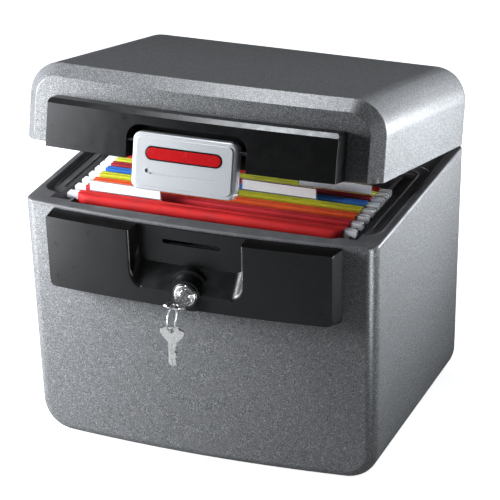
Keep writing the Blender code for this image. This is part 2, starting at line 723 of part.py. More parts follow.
def lid_liner():
    """The lid's inner moulding: a plate across the opening with a deep tray pressed up into it."""
    inset = WALL + GAP
    plate_top = LID_LOW + 0.0050
    plate = lid_block(inset, LID_LOW, LID_TOP - inset)
    liner = add_piece("lid_liner", trimmed(plate, plate_top, keep=-1), finish("rim_plastic"), "lid_axis")
    combine(liner, lid_cavity(LINER, LID_LOW + 0.002, BODY_HEIGHT + LID_HOLLOW + LINER), "UNION")
    combine(liner, lid_cavity(0, LID_LOW - 0.01, BODY_HEIGHT + LID_HOLLOW))
    combine(liner, gasket_ring(GAP, LID_LOW - 0.01, LID_LOW + 0.0025 + GAP))


def gasket_ring(grow, low, high):
    """A flat ring round the tray, wide enough to reach both ribs of the rim."""

    def outline(offset, lower, upper):
        corner_low = (-0.1735 - offset, -0.1415 - offset, lower)
        return rounded_plan(corner_low, (0.1735 + offset, 0.0700 + offset, upper), 0.018)

    half = 0.0055 + grow
    return boolean_of(outline(half, low, high), outline(-half, low - 0.01, high + 0.01), "DIFFERENCE")


def lid_gasket():
    add_piece("lid_gasket", gasket_ring(0, LID_LOW, LID_LOW + 0.0025), finish("gasket_rubber"), "lid_axis")


def lid_front_panel():
    bottom = SEAM_GAP
    bm = box((-PANEL_HALF, -LID_PANEL_PROUD, bottom), (PANEL_HALF, -GAP, LID_PANEL_LEDGE))
    for vert in bm.verts:
        if vert.co.y < -0.01:
            vert.co.x *= 1 - PANEL_TAPER / PANEL_HALF
    face = [e for e in bm.edges if ends_at(e, 1, -LID_PANEL_PROUD)]
    ledge = [e for e in face if ends_at(e, 2, LID_PANEL_LEDGE)]
    bevel(bm, ledge, LID_PANEL_LEDGE - LID_PANEL_TOP, 1)
    face = [e for e in bm.edges if ends_at(e, 1, -LID_PANEL_PROUD)]
    bevel(bm, face, 0.0012, 2)
    slice_across(bm, PANEL_HALF, BOW_STEPS)
    bmesh.ops.translate(bm, vec=(0, -DEPTH / 2, BODY_HEIGHT), verts=bm.verts)
    panel = add_piece("lid_front_panel", bowed(bm), finish("panel_plastic"), "lid_axis")
    bay = box((-LATCH_BAY_HALF, -0.05, -0.05), (LATCH_BAY_HALF, -0.0036, LATCH_BAY_TOP))
    bevel(bay, [e for e in bay.edges if along(e, 1) and ends_at(e, 2, LATCH_BAY_TOP)], LATCH_BAY_CORNER, 5)
    slice_across(bay, LATCH_BAY_HALF, 4)
    bmesh.ops.translate(bay, vec=(0, -DEPTH / 2, BODY_HEIGHT), verts=bay.verts)
    combine(panel, bowed(bay))
    y, z = latch_pivot()[1:]
    half = LATCH_BAY_HALF + 0.006
    combine(panel, rod(LATCH_PIN_RADIUS + GAP, (-half, y, z), (half, y, z), 16))


def latch_pivot():
    return (0, front_y(LATCH_PIVOT_PROUD), BODY_HEIGHT + LATCH_PIVOT_UP)


def latch_handle():
    bm = box((-LATCH_HALF, -LATCH_FACE, LATCH_LOW), (LATCH_HALF, -LATCH_BACK, LATCH_TOP))
    bevel(bm, [e for e in bm.edges if along(e, 1)], LATCH_CORNER, 4)
    face = [e for e in bm.edges if ends_at(e, 1, -LATCH_FACE)]
    bevel(bm, face, 0.002, 2)
    slice_across(bm, LATCH_HALF, 4)
    bmesh.ops.translate(bm, vec=(0, -DEPTH / 2, BODY_HEIGHT), verts=bm.verts)
    handle = add_piece("latch_handle", bowed(bm), finish("latch_paint"), "latch_axis")
    y, z = latch_pivot()[1:]
    combine(handle, rod(LATCH_PIN_RADIUS + GAP, (-0.08, y, z), (0.08, y, z), 16))
    combine(handle, box((-0.011, y - 0.0056, z - 0.0066), (0.011, y + 0.03, z + 0.0078)))
    combine(handle, box(
        (-0.0442, front_y(LATCH_FACE + 0.01), BODY_HEIGHT + 0.0008),
        (0.0442, front_y(LATCH_FACE - 0.0012), BODY_HEIGHT + 0.0192),
    ))


def latch_badge():
    """A plain coloured plate let into the latch's face."""
    low = (-0.0438, front_y(LATCH_FACE + 0.0004), BODY_HEIGHT + 0.0012)
    high = (0.0438, front_y(LATCH_FACE - 0.0008), BODY_HEIGHT + 0.0188)
    add_piece("latch_badge", box(low, high), finish("badge"), "latch_axis")


def latch_hook():
    """Steel hook behind the latch. Its lipped end enters the slot as the latch is pressed home."""
    root, tip = front_y(LATCH_BACK) + GAP, front_y(HOOK_TIP)
    middle = latch_pivot()[2] - HOOK_DROP
    low, high = middle - HOOK_THICK / 2, middle + HOOK_THICK / 2
    up = low + 0.0120
    outline = [
        (root, up), (root, low), (tip, low), (tip, high + HOOK_LIP), (tip - 0.0012, high + HOOK_LIP),
        (tip - 0.0020, high), (root + 0.0020, high), (root + 0.0020, up),
    ]
    add_piece("latch_hook", sheet(outline, 2 * HOOK_HALF, UPRIGHT_YZ), finish("steel"), "latch_axis")


def latch_pin_and_spring():
    y, z = latch_pivot()[1:]
    half = LATCH_BAY_HALF + 0.005
    pin = rod(LATCH_PIN_RADIUS, (-half, y, z), (half, y, z), 16)
    add_piece("latch_pin", pin, finish("steel"), "lid_axis")
    per_turn, pitch = 10, 0.0026
    count = SPRING_TURNS * per_turn
    points = []
    for step in range(count + 1):
        turn = math.tau * step / per_turn
        x = pitch * (step - count / 2) / per_turn
        points.append((x, y + SPRING_RADIUS * math.cos(turn), z + SPRING_RADIUS * math.sin(turn)))
    upper_tail = Vector(points[0]) + Vector((0, 0.0005, 0.0055))
    lower_tail = Vector(points[-1]) + Vector((0, 0.0005, -0.0052))
    coil = wire([upper_tail, *points, lower_tail], SPRING_WIRE)
    add_piece("latch_spring", coil, finish("steel"), "lid_axis")


# ---------------------------------------------------------------- hinges

HINGE_Y = DEPTH / 2 + HINGE_BACK


def knuckle(x_from, x_to):
    return rod(KNUCKLE_RADIUS, (x_from, HINGE_Y, BODY_HEIGHT), (x_to, HINGE_Y, BODY_HEIGHT))


def hinge(side, name):
    """A butt hinge on the rear faces: outer knuckles on the body's leaf, the middle one on the lid's."""
    steel = finish("steel")
    centre = side * HINGE_X
    near, far = DEPTH / 2 + GAP, DEPTH / 2 + GAP + 0.002
    third = HINGE_HALF / 3
    plate_low, plate_high = BODY_HEIGHT - 0.032, BODY_HEIGHT + 0.032
    leaf = box((centre - HINGE_HALF, near, plate_low), (centre + HINGE_HALF, far, BODY_HEIGHT - 0.0010))
    bevel(leaf, [e for e in leaf.edges if along(e, 1) and ends_at(e, 2, plate_low)], 0.005, 3)
    leaf = add_piece(f"hinge_leaf_body_{name}", follow_body(leaf), steel)
    for low, high in ((-HINGE_HALF, -third - GAP), (third + GAP, HINGE_HALF)):
        combine(leaf, knuckle(centre + low, centre + high), "UNION")
    notch_low = (centre - third - GAP, near - 0.001, BODY_HEIGHT - 0.0052)
    combine(leaf, box(notch_low, (centre + third + GAP, far + 0.01, BODY_HEIGHT + 0.01)))
    bore_ends = ((centre - 0.05, HINGE_Y, BODY_HEIGHT), (centre + 0.05, HINGE_Y, BODY_HEIGHT))
    combine(leaf, rod(HINGE_PIN_RADIUS + GAP, *bore_ends))
    leaf = box((centre - HINGE_HALF, near, BODY_HEIGHT + 0.0052), (centre + HINGE_HALF, far, plate_high))
    bevel(leaf, [e for e in leaf.edges if along(e, 1) and ends_at(e, 2, plate_high)], 0.005, 3)
    leaf = add_piece(f"hinge_leaf_lid_{name}", leaf, steel, "lid_axis")
    web = box((centre - third, near, BODY_HEIGHT + 0.0005), (centre + third, far, BODY_HEIGHT + 0.0060))
    combine(leaf, web, "UNION")
    combine(leaf, knuckle(centre - third, centre + third), "UNION")
    combine(leaf, rod(HINGE_PIN_RADIUS + GAP, *bore_ends))
    pin_half = HINGE_HALF - 0.0005
    pin_ends = ((centre - pin_half, HINGE_Y, BODY_HEIGHT), (centre + pin_half, HINGE_Y, BODY_HEIGHT))
    add_piece(f"hinge_pin_{name}", rod(HINGE_PIN_RADIUS, *pin_ends), finish("dark_steel"))


# ---------------------------------------------------------------- hanging folders

def folder_y(index):
    """Folders stand closer together towards the back."""
    return -0.110 + 0.0205 * index - 0.0007 * index**2


def folder_section(front_spread, rear_spread, front_bulge):
    """A folder seen from its end: two thin panels from the fold up to hems that each wrap a rod."""
    paper = 0.0009
    outer, inner = ROD_OFFSET + HEM_HALF, ROD_OFFSET - HEM_HALF

    def side(sign, spread, bulge):
        middle = 0.232
        return [
            (sign * (spread - paper), FOLDER_LOW + paper),
            (sign * (bulge - paper), middle),
            (sign * inner, HEM_LOW),
            (sign * inner, FOLDER_HIGH),
            (sign * outer, FOLDER_HIGH),
            (sign * outer, HEM_LOW),
            (sign * bulge, middle),
            (sign * spread, FOLDER_LOW),
        ]

    return [*reversed(side(1, rear_spread, rear_spread)), *side(-1, front_spread, front_bulge)]


def hanging_folder(index):
    name, colour = FOLDER_COLOURS[index]
    pivot = f"folder_{index + 1}_slide"
    y = folder_y(index)
    add_pivot(pivot, (0, y, ROD_LOW))
    spread = 0.0026
    spreads = (0.0075, spread, 0.0150) if index == 0 else (spread, spread, spread)
    holes = []
    for sign in (-1, 1):
        half, low, high = ROD_THICK / 2 + GAP, ROD_LOW - GAP, ROD_HIGH + GAP
        middle = sign * ROD_OFFSET
        left, right = middle - half, middle + half
        holes.append([(left, low), (right, low), (right, high), (left, high)])
    section = sheet(folder_section(*spreads), 2 * FOLDER_HALF, at(0, y, 0) @ UPRIGHT_YZ, holes)
    add_piece(f"folder_{index + 1}_pocket", section, finish("folder", (name, colour)), pivot)
    for sign, place in ((-1, "front"), (1, "rear")):
        bar = sheet(rod_outline(), ROD_THICK, at(0, y + sign * ROD_OFFSET, 0) @ UPRIGHT_XZ)
        add_piece(f"folder_{index + 1}_{place}_rod", bar, finish("steel"), pivot)


def rod_outline():
    """A flat bar with a notch near each end that hangs over the rail."""
    notch_in, notch_out = CAVITY_HALF - 0.0008, CAVITY_HALF + RAIL_WIDTH + 0.0010
    seat = RAIL_TOP + GAP
    right = [
        (0.0, ROD_LOW),
        (notch_in, ROD_LOW),
        (notch_in, seat),
        (notch_out, seat),
        (notch_out, ROD_LOW + 0.0004),
        (ROD_HALF - 0.0012, ROD_LOW + 0.0004),
        (ROD_HALF, ROD_LOW + 0.0016),
        (ROD_HALF, ROD_HIGH - 0.0020),
        (ROD_HALF - 0.0020, ROD_HIGH),
    ]
    left = [(-x, z) for x, z in reversed(right[1:])]
    return right + left


def folder_tab(name, index, x_from, x_to, top, kind):
    """A label tab standing on a folder's rear hem."""
    y = folder_y(index) + ROD_OFFSET
    low, high = (x_from, y - 0.0005, TAB_LOW), (x_to, y + 0.0005, top)
    bm = box(low, high)
    bevel(bm, [e for e in bm.edges if along(e, 1) and ends_at(e, 2, top)], 0.002, 2)
    add_piece(name, bm, finish(kind), f"folder_{index + 1}_slide")


# ---------------------------------------------------------------- assembly

def build():
    lid_turn = (-LID_AJAR, 0, 0)
    add_pivot("lid_axis", (0, HINGE_Y, BODY_HEIGHT), turned=lid_turn)
    add_pivot("latch_axis", latch_pivot(), "lid_axis")
    centre = Vector(lock_centre())
    add_pivot("lock_axis", centre)
    ring = Vector(ring_centre())
    add_pivot("ring_axis", (ring.x, ring.y, centre.z + KEY_THICK / 2), "lock_axis")
    add_pivot("spare_axis", ring - Vector((0, 0, RING_RADIUS)), "ring_axis")
    bpy.context.view_layer.update()
    body_shell()
    body_insulation()
    body_liner()
    body_rim()
    body_front_panel()
    strike_plate()
    lock_pieces()
    lock_cam()
    key_in_lock()
    key_ring()
    spare_key()
    lid_shell()
    lid_insulation()
    lid_liner()
    lid_gasket()
    lid_front_panel()
    latch_handle()
    latch_badge()
    latch_hook()
    latch_pin_and_spring()
    for side, name in ((-1, "left"), (1, "right")):
        hinge(side, name)
    for index in range(FOLDERS):
        hanging_folder(index)
    folder_tab("label_tab_front", 0, -0.139, -0.056, TAB_HIGH, "tab_card")
    folder_tab("label_tab_middle", 3, 0.013, 0.098, TAB_HIGH, "tab_card")
    folder_tab("label_tab_right", 5, 0.066, 0.149, TAB_HIGH - 0.001, "tab_card")
    folder_tab("label_tab_clear", 6, 0.004, 0.089, TAB_HIGH + 0.001, "tab_clear")


build()
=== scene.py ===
"""Looks of the fireproof document box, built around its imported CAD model.

Metres, +Z up, -Y is the front. Pieces of the body are drawn where they stand. Pieces of the lid and the
latch are drawn with the lid closed, then turned up about the hinge to where the lid rests.
"""

import json
import math

import bmesh
import bpy
from mathutils import Matrix, Vector, noise


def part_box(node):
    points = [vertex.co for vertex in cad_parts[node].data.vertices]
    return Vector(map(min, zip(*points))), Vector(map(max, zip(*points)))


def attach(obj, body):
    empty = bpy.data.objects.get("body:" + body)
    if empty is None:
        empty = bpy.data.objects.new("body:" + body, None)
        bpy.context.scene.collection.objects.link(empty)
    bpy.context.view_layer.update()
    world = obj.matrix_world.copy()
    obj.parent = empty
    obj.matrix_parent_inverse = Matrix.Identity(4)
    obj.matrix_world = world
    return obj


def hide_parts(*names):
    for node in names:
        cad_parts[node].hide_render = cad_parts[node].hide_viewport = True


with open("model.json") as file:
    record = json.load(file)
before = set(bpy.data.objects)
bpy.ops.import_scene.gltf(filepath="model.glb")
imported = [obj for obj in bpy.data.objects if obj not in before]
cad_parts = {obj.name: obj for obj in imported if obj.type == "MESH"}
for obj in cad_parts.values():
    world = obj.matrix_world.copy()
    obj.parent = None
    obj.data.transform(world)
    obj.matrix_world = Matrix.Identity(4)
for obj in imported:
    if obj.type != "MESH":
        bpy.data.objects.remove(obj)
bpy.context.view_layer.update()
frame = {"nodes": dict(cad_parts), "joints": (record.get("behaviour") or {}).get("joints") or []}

JOINTS = {joint["name"]: joint for joint in frame["joints"]}

# ---------------------------------------------------------------- sizes from the frame

RIM_CORNER_LOW, RIM_CORNER_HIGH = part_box("body_rim")
WIDTH = RIM_CORNER_HIGH.x - RIM_CORNER_LOW.x
SEAM = RIM_CORNER_HIGH.z
REAR = RIM_CORNER_HIGH.y
FRONT = -REAR
BOW = FRONT - RIM_CORNER_LOW.y
HINGE = Vector(JOINTS["lid_hinge"]["pos_m"])
AJAR = -math.radians(JOINTS["lid_hinge"]["range_deg"][0])
LID_HEIGHT = 0.0834
LATCH_PIVOT = Vector(JOINTS["latch_pivot"]["pos_m"])
LOCK = Vector(JOINTS["lock_turn"]["pos_m"])
SPARE_TOP = Vector(JOINTS["spare_key_swing"]["pos_m"])

# Case.
SIDE_DRAFT, END_DRAFT = 0.0045, 0.0072
BODY_CORNER, BODY_EDGE = 0.033, 0.011
LID_CORNER, LID_EDGE, LID_BAND = 0.036, 0.0125, 0.0128
WALL, GAP, SEAM_GAP = 0.003, 0.0003, 0.0006

# Document cavity and rim.
CAVITY_HALF, CAVITY_BOW, CAVITY_CORNER, LINER = 0.1535, 0.0045, 0.010, 0.002
CAVITY_FRONT, CAVITY_REAR, CAVITY_FLOOR = -0.135, 0.058, 0.027
LID_HOLLOW, LID_PLATE = 0.042, 0.0050
RIM_BASE, RIM_FLOOR, RIM_STRIP = SEAM - 0.0133, SEAM - 0.004, 0.0237
RAIL_WIDTH, RAIL_TOP, TRENCH_FLOOR = 0.0035, SEAM - 0.0066, SEAM - 0.0113
SEAL_RIBS = ((0.1740, 0.070), (0.1835, 0.079))

# Front panels.
PANEL_HALF, PANEL_TAPER, PANEL_PROUD = 0.1619, 0.0025, 0.0232
PANEL_LOW, PANEL_HIGH = SEAM - 0.0838, SEAM - 0.0035
RECESS_HALF, RECESS_WALL, RECESS_LIP, RECESS_HEEL = 0.0628, 0.003, SEAM - 0.0658, SEAM - 0.0438
SLOT_HALF, SLOT_LOW, SLOT_HIGH = 0.0325, SEAM - 0.0213, SEAM - 0.0162
LID_PANEL_PROUD, LID_PANEL_TOP, LID_PANEL_LEDGE = 0.0221, 0.0466, 0.0515
LID_PANEL_CHAMFER = LID_PANEL_LEDGE - LID_PANEL_TOP
BAY_HALF, BAY_TOP, BAY_CORNER, BAY_BACK = 0.066, 0.0372, 0.015, 0.0036

# Latch, measured from the case's front and from the seam.
LATCH_HALF, LATCH_TOP, LATCH_LOW, LATCH_CORNER = 0.0575, 0.0305, -0.029, 0.0085
LATCH_BACK, LATCH_FACE = 0.014, 0.026
PIN_RADIUS = 0.002
BADGE_HALF, BADGE_LOW, BADGE_HIGH = 0.0420, 0.0030, 0.0174

# Lock and keys, measured from the case's front.
LOCK_FACE, LOCK_RADIUS, LOCK_BODY, PLUG_RADIUS, LOCK_REAR = 0.0262, 0.012, 0.0095, 0.0064, -0.010
KEY_SHOULDER, KEY_THICK = 0.0282, 0.002
RING_LOW, RING_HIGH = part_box("key_ring")
RING_WIRE = (RING_HIGH.x - RING_LOW.x) / 2
RING_RADIUS = (RING_HIGH.z - RING_LOW.z) / 2 - RING_WIRE

# Hanging folders.
FOLDER_HALF, FOLDER_LOW, FOLDER_HIGH = 0.149, 0.031, SEAM + 0.0006
HEM_LOW, ROD_LOW, ROD_HIGH = FOLDER_HIGH - 0.0111, FOLDER_HIGH - 0.0102, FOLDER_HIGH - 0.0012
ROD_OFFSET, ROD_HALF, ROD_THICK = 0.0026, 0.1628, 0.0012
PAPER = 0.0005
HEM_HALF = 0.0017 - PAPER / 2

# Steps of the round stretches.
CORNER_STEPS, EDGE_STEPS, BOW_STEPS, ROUND_STEPS = 14, 6, 32, 64

UPRIGHT_XZ = Matrix(((1, 0, 0, 0), (0, 0, -1, 0), (0, 1, 0, 0), (0, 0, 0, 1)))
LID_TURN = (
    Matrix.Translation(HINGE) @ Matrix.Rotation(AJAR, 4, (-1, 0, 0)) @ Matrix.Translation(-HINGE)
)


# ---------------------------------------------------------------- shape helpers

def box(low, high):
    bm = bmesh.new()
    bmesh.ops.create_cube(bm, size=1)
    size = Vector(high) - Vector(low)
    bmesh.ops.scale(bm, vec=size, verts=bm.verts)
    bmesh.ops.translate(bm, vec=Vector(low) + size / 2, verts=bm.verts)
    return bm


def ends_at(edge, axis, value):
    return all(abs(vert.co[axis] - value) < 1e-6 for vert in edge.verts)


def along(edge, axis):
    step = edge.verts[0].co - edge.verts[1].co
    return abs(step[axis]) > 0.999 * step.length


def front_to_back(bm, height=None):
    """The edges along Y, or only those at a height."""
    return [e for e in bm.edges if along(e, 1) and (height is None or ends_at(e, 2, height))]


def bevel(bm, edges, width, steps):
    bmesh.ops.bevel(
        bm, geom=edges, offset=width, offset_type="OFFSET", segments=steps, profile=0.5, affect="EDGES"
    )
    return bm


def slice_across(bm, half, steps):
    """Cuts a shape into strips along X, so that it can bow."""
    for step in range(1, steps):
        geometry = bm.verts[:] + bm.edges[:] + bm.faces[:]
        plane = Vector((-half + 2 * half * step / steps, 0, 0))
        bmesh.ops.bisect_plane(bm, geom=geometry, dist=1e-7, plane_co=plane, plane_no=(1, 0, 0))
    return bm


def below_seam(z):
    return (SEAM - z) / SEAM


def bow_at(x, y, bow=BOW):
    """How far the bowed front stands forward at a place. Only the front half bows."""
    return bow * (1 - (2 * x / WIDTH) ** 2) if y < 0 else 0.0


def bowed(bm):
    """Gives a shape the bowed front of the case."""
    for vert in bm.verts:
        vert.co.y -= bow_at(vert.co.x, vert.co.y)
    return bm


def follow_body(bm):
    """Gives a shape the bowed front and the leaning sides of the body."""
    for vert in bowed(bm).verts:
        below = below_seam(vert.co.z)
        side = max(-1.0, min(1.0, 4 * vert.co.x / WIDTH))
        vert.co.x -= side * SIDE_DRAFT * below
        vert.co.y -= math.copysign(END_DRAFT, vert.co.y) * below
    return bm


def front_y(proud, z=SEAM):
    return FRONT - BOW + END_DRAFT * below_seam(z) - proud


def case_block(inset, low, high, corner, edge, open_at, front_band=None):
    """A block with the case's outline, drawn in by an inset, with rounded corners and edges."""
    half, front, rear = WIDTH / 2 - inset, FRONT + inset, REAR - inset
    bm = box((-half, front, low), (half, rear, high))
    closed = low if open_at == high else high
    bevel(bm, front_to_back(bm, closed), corner - inset, CORNER_STEPS)
    front_style = (front_band, 1) if front_band else (edge, EDGE_STEPS)
    for y, (width, steps) in ((front, front_style), (rear, (edge, EDGE_STEPS))):
        rounding = [e for e in bm.edges if ends_at(e, 1, y) and not ends_at(e, 2, open_at)]
        bevel(bm, rounding, width - inset, steps)
    if front_band:
        soften_band(bm, front, front_band - inset)
    return slice_across(bm, half, BOW_STEPS)


def soften_band(bm, front, band):
    """Rounds the two long edges of the flat band a little."""
    for y in (front, front + band):
        edges = [e for e in bm.edges if ends_at(e, 1, y) and len(e.link_faces) == 2]
        creased = [e for e in edges if e.calc_face_angle(0) > math.radians(20)]
        bevel(bm, creased, 0.0007, 2)


def rod(radius, start, end, steps=ROUND_STEPS, end_radius=None):
    start, end = Vector(start), Vector(end)
    bm = bmesh.new()
    top = radius if end_radius is None else end_radius
    length = (end - start).length
    bmesh.ops.create_cone(bm, cap_ends=True, segments=steps, radius1=radius, radius2=top, depth=length)
    turn = Vector((0, 0, 1)).rotation_difference(end - start).to_matrix().to_4x4()
    bmesh.ops.transform(bm, matrix=Matrix.Translation((start + end) / 2) @ turn, verts=bm.verts)
    return bm


def mirrored(points):
    """The left half that closes an outline given as its right half."""
    return [(-u, v) for u, v in reversed(points)]


def arc(centre, radius, start, end, steps):
    angles = [math.radians(start + (end - start) * step / steps) for step in range(steps + 1)]
    return [(centre[0] + radius * math.cos(a), centre[1] + radius * math.sin(a)) for a in angles]


def object_of(name, data):
    obj = bpy.data.objects.new(name, data)
    bpy.context.scene.collection.objects.link(obj)
    return obj


def mesh_of(name, bm):
    mesh = bpy.data.meshes.new(name)
    bm.to_mesh(mesh)
    bm.free()
    return mesh


def finished(obj):
    """The shape of an object after its modifiers. The object goes."""
    graph = bpy.context.evaluated_depsgraph_get()
    bm = bmesh.new()
    bm.from_mesh(bpy.data.meshes.new_from_object(obj.evaluated_get(graph)))
    bpy.data.objects.remove(obj)
    return bm


def mesh_of_curve(curve):
    bm = finished(object_of("guide", curve))
    bmesh.ops.remove_doubles(bm, verts=bm.verts, dist=1e-6)
    return bm


def sheet(outline, thickness, place, rounding=0.0):
    """A flat outline of XY points with thickness and rounded rims, moved to its place by a matrix."""
    curve = bpy.data.curves.new("outline", "CURVE")
    curve.dimensions = "2D"
    curve.fill_mode = "BOTH"
    curve.extrude = thickness / 2 - rounding
    curve.bevel_depth = rounding
    curve.bevel_resolution = 1
    curve.offset = -rounding
    spline = curve.splines.new("POLY")
    spline.points.add(len(outline) - 1)
    for point, (u, v) in zip(spline.points, outline):
        point.co = (u, v, 0, 1)
    spline.use_cyclic_u = True
    bm = mesh_of_curve(curve)
    bmesh.ops.transform(bm, matrix=place, verts=bm.verts)
    return bm


def wire(points, radius, closed=False, resolution=3):
    curve = bpy.data.curves.new("wire", "CURVE")
    curve.dimensions = "3D"
    curve.bevel_depth = radius
    curve.bevel_resolution = resolution
    curve.use_fill_caps = not closed
    spline = curve.splines.new("POLY")
    spline.points.add(len(points) - 1)
    for point, co in zip(spline.points, points):
        point.co = (*co, 1)
    spline.use_cyclic_u = closed
    return mesh_of_curve(curve)


def turned(profile, centre, steps=ROUND_STEPS):
    """A round solid about an axis along Y, from radii and distances ahead of the centre."""
    curve = [(0.0, profile[0][1]), *profile, (0.0, profile[-1][1])]
    bm = bmesh.new()
    verts = [bm.verts.new((radius, -ahead, 0)) for radius, ahead in curve]
    for first, second in zip(verts, verts[1:]):
        bm.edges.new((first, second))
    geometry = bm.verts[:] + bm.edges[:]
    bmesh.ops.spin(
        bm, geom=geometry, cent=(0, 0, 0), axis=(0, 1, 0), angle=math.tau, steps=steps, use_merge=True
    )
    bmesh.ops.remove_doubles(bm, verts=bm.verts, dist=1e-6)
    bmesh.ops.translate(bm, vec=centre, verts=bm.verts)
    return bm


def plan_loop(half, front, rear, corner, z, bow):
    """Points of a rounded rectangle seen from above, anticlockwise, its front bowed."""
    inner = half - corner
    points = [(-inner + 2 * inner * step / BOW_STEPS, front) for step in range(BOW_STEPS)]
    near, far = front + corner, rear - corner
    for x, y, start in ((inner, near, -90), (inner, far, 0), (-inner, far, 90)):
        points += arc((x, y), corner, start, start + 90, CORNER_STEPS)
    points += arc((-inner, near), corner, 180, 270, CORNER_STEPS)[:-1]
    return [(x, y - bow_at(x, y, bow), z) for x, y in points]


def loft(loops, cyclic=False):
    """A closed skin over loops of equally many points. A cyclic one joins its ends, like a ring."""
    bm = bmesh.new()
    rows = [[bm.verts.new(point) for point in loop] for loop in loops]
    pairs = list(zip(rows, rows[1:])) + ([(rows[-1], rows[0])] if cyclic else [])
    for lower, upper in pairs:
        for i in range(len(lower)):
            j = (i + 1) % len(lower)
            bm.faces.new((lower[i], lower[j], upper[j], upper[i]))
    if not cyclic:
        bm.faces.new(rows[0])
        bm.faces.new(rows[-1])
    return bm


def operand(bm):
    bmesh.ops.recalc_face_normals(bm, faces=bm.faces)
    return object_of("operand", mesh_of("operand", bm))


def cut(first, second, operation="DIFFERENCE"):
    """One closed shape from two."""
    base, tool = operand(first), operand(second)
    boolean = base.modifiers.new(operation.lower(), "BOOLEAN")
    boolean.operation = operation
    boolean.solver = "EXACT"
    boolean.object = tool
    result = finished(base)
    bpy.data.objects.remove(tool)
    return result


def union(first, second):
    return cut(first, second, "UNION")


def rounded_edges(bm, width, steps=3, angle=35):
    """Rounds every edge sharper than an angle."""
    bmesh.ops.recalc_face_normals(bm, faces=bm.faces)
    bmesh.ops.dissolve_limit(
        bm, angle_limit=math.radians(1), verts=bm.verts, edges=bm.edges, use_dissolve_boundaries=False
    )
    obj = object_of("operand", mesh_of("operand", bm))
    modifier = obj.modifiers.new("rounding", "BEVEL")
    modifier.width = width
    modifier.segments = steps
    modifier.limit_method = "ANGLE"
    modifier.angle_limit = math.radians(angle)
    modifier.use_clamp_overlap = True
    return finished(obj)


def moved(bm, vec):
    bmesh.ops.translate(bm, vec=vec, verts=bm.verts)
    return bm


def add_piece(name, bm, material, body, node, sharp=38, second=None):
    """A named piece that rides on a body and stands for a CAD node.

    second is a further shape and its material that belong to the same piece.
    """
    if second:
        shape, _ = second
        bmesh.ops.recalc_face_normals(shape, faces=shape.faces)
        first_faces = len(bm.faces)
        bm.from_mesh(mesh_of("second", shape))
        bm.faces.ensure_lookup_table()
        for face in bm.faces[first_faces:]:
            face.material_index = 1
    if body in ("lid", "latch"):
        bmesh.ops.transform(bm, matrix=LID_TURN, verts=bm.verts)
    bmesh.ops.recalc_face_normals(bm, faces=bm.faces)
    mesh = mesh_of(name, bm)
    mesh.shade_smooth()
    mesh.set_sharp_from_angle(angle=math.radians(sharp))
    mesh.materials.append(material)
    if second:
        mesh.materials.append(second[1])
    obj = object_of(name, mesh)
    weighted = obj.modifiers.new("weighted_normals", "WEIGHTED_NORMAL")
    weighted.keep_sharp = True
    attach(obj, body)
    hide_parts(node)


# ---------------------------------------------------------------- materials

class Shader:
    """A Principled material and the few node calls that the materials below use."""

    def __init__(self, name, metallic=0.0):
        self.material = bpy.data.materials.new(name)
        self.material.use_nodes = True
        self.nodes = self.material.node_tree.nodes
        self.links = self.material.node_tree.links
        self.surface = self.nodes["Principled BSDF"]
        self.surface.inputs["Metallic"].default_value = metallic
        self.place = self.nodes.new("ShaderNodeTexCoord").outputs["Object"]
        self.height = None

    def node(self, kind, linked=(), **values):
        """A node with its named inputs set, and others linked."""
        node = self.nodes.new("ShaderNode" + kind)
        for socket, value in values.items():
            node.inputs[socket].default_value = value
        for socket, output in linked:
            self.links.new(output, node.inputs[socket])
        return node

    def stretched(self, scale):
        return self.node("Mapping", [("Vector", self.place)], Scale=scale).outputs["Vector"]

    def noise(self, scale, detail=2.0, rough=0.5, place=None):
        linked = [("Vector", place or self.place)]
        return self.node("TexNoise", linked, Scale=scale, Detail=detail, Roughness=rough).outputs["Fac"]

    def cells(self, scale):
        return self.node("TexVoronoi", [("Vector", self.place)], Scale=scale).outputs["Distance"]

    def ramp(self, factor, *stops):
        """Colours along a factor. Each stop is a position and a grey or an RGB colour."""
        node = self.node("ValToRGB", [("Fac", factor)])
        elements = node.color_ramp.elements
        while len(elements) < len(stops):
            elements.new(1.0)
        for element, (position, colour) in zip(elements, stops):
            element.position = position
            element.color = (colour,) * 3 + (1,) if isinstance(colour, float) else (*colour, 1)
        return node.outputs["Color"]

    def levels(self, factor, low, high, start=0.3, end=0.7):
        ranges = {"From Min": start, "From Max": end, "To Min": low, "To Max": high}
        return self.node("MapRange", [("Value", factor)], **ranges).outputs["Result"]

    def mix(self, factor, first, second, blend="MIX"):
        node = self.node("Mix")
        node.data_type = "RGBA"
        node.blend_type = blend
        for socket, value in ((0, factor), (6, first), (7, second)):
            if isinstance(value, bpy.types.NodeSocket):
                self.links.new(value, node.inputs[socket])
            elif isinstance(value, (int, float)):
                node.inputs[socket].default_value = value
            else:
                node.inputs[socket].default_value = (*value, 1)
        return node.outputs[2]

    def axis(self, index):
        return self.node("SeparateXYZ", [(0, self.place)]).outputs[index]

    def sum(self, first, second, weight=1.0):
        node = self.node("Math", [(0, second), (2, first)])
        node.operation = "MULTIPLY_ADD"
        node.inputs[1].default_value = weight
        return node.outputs[0]

    def set(self, socket, value):
        if isinstance(value, bpy.types.NodeSocket):
            self.links.new(value, self.surface.inputs[socket])
        else:
            self.surface.inputs[socket].default_value = value
        return self

    def bump(self, height, distance, strength=1.0):
        node = self.node("Bump", [("Height", height)], Distance=distance, Strength=strength)
        if self.height:
            self.links.new(self.height, node.inputs["Normal"])
        self.height = node.outputs["Normal"]
        self.links.new(self.height, self.surface.inputs["Normal"])
        return self


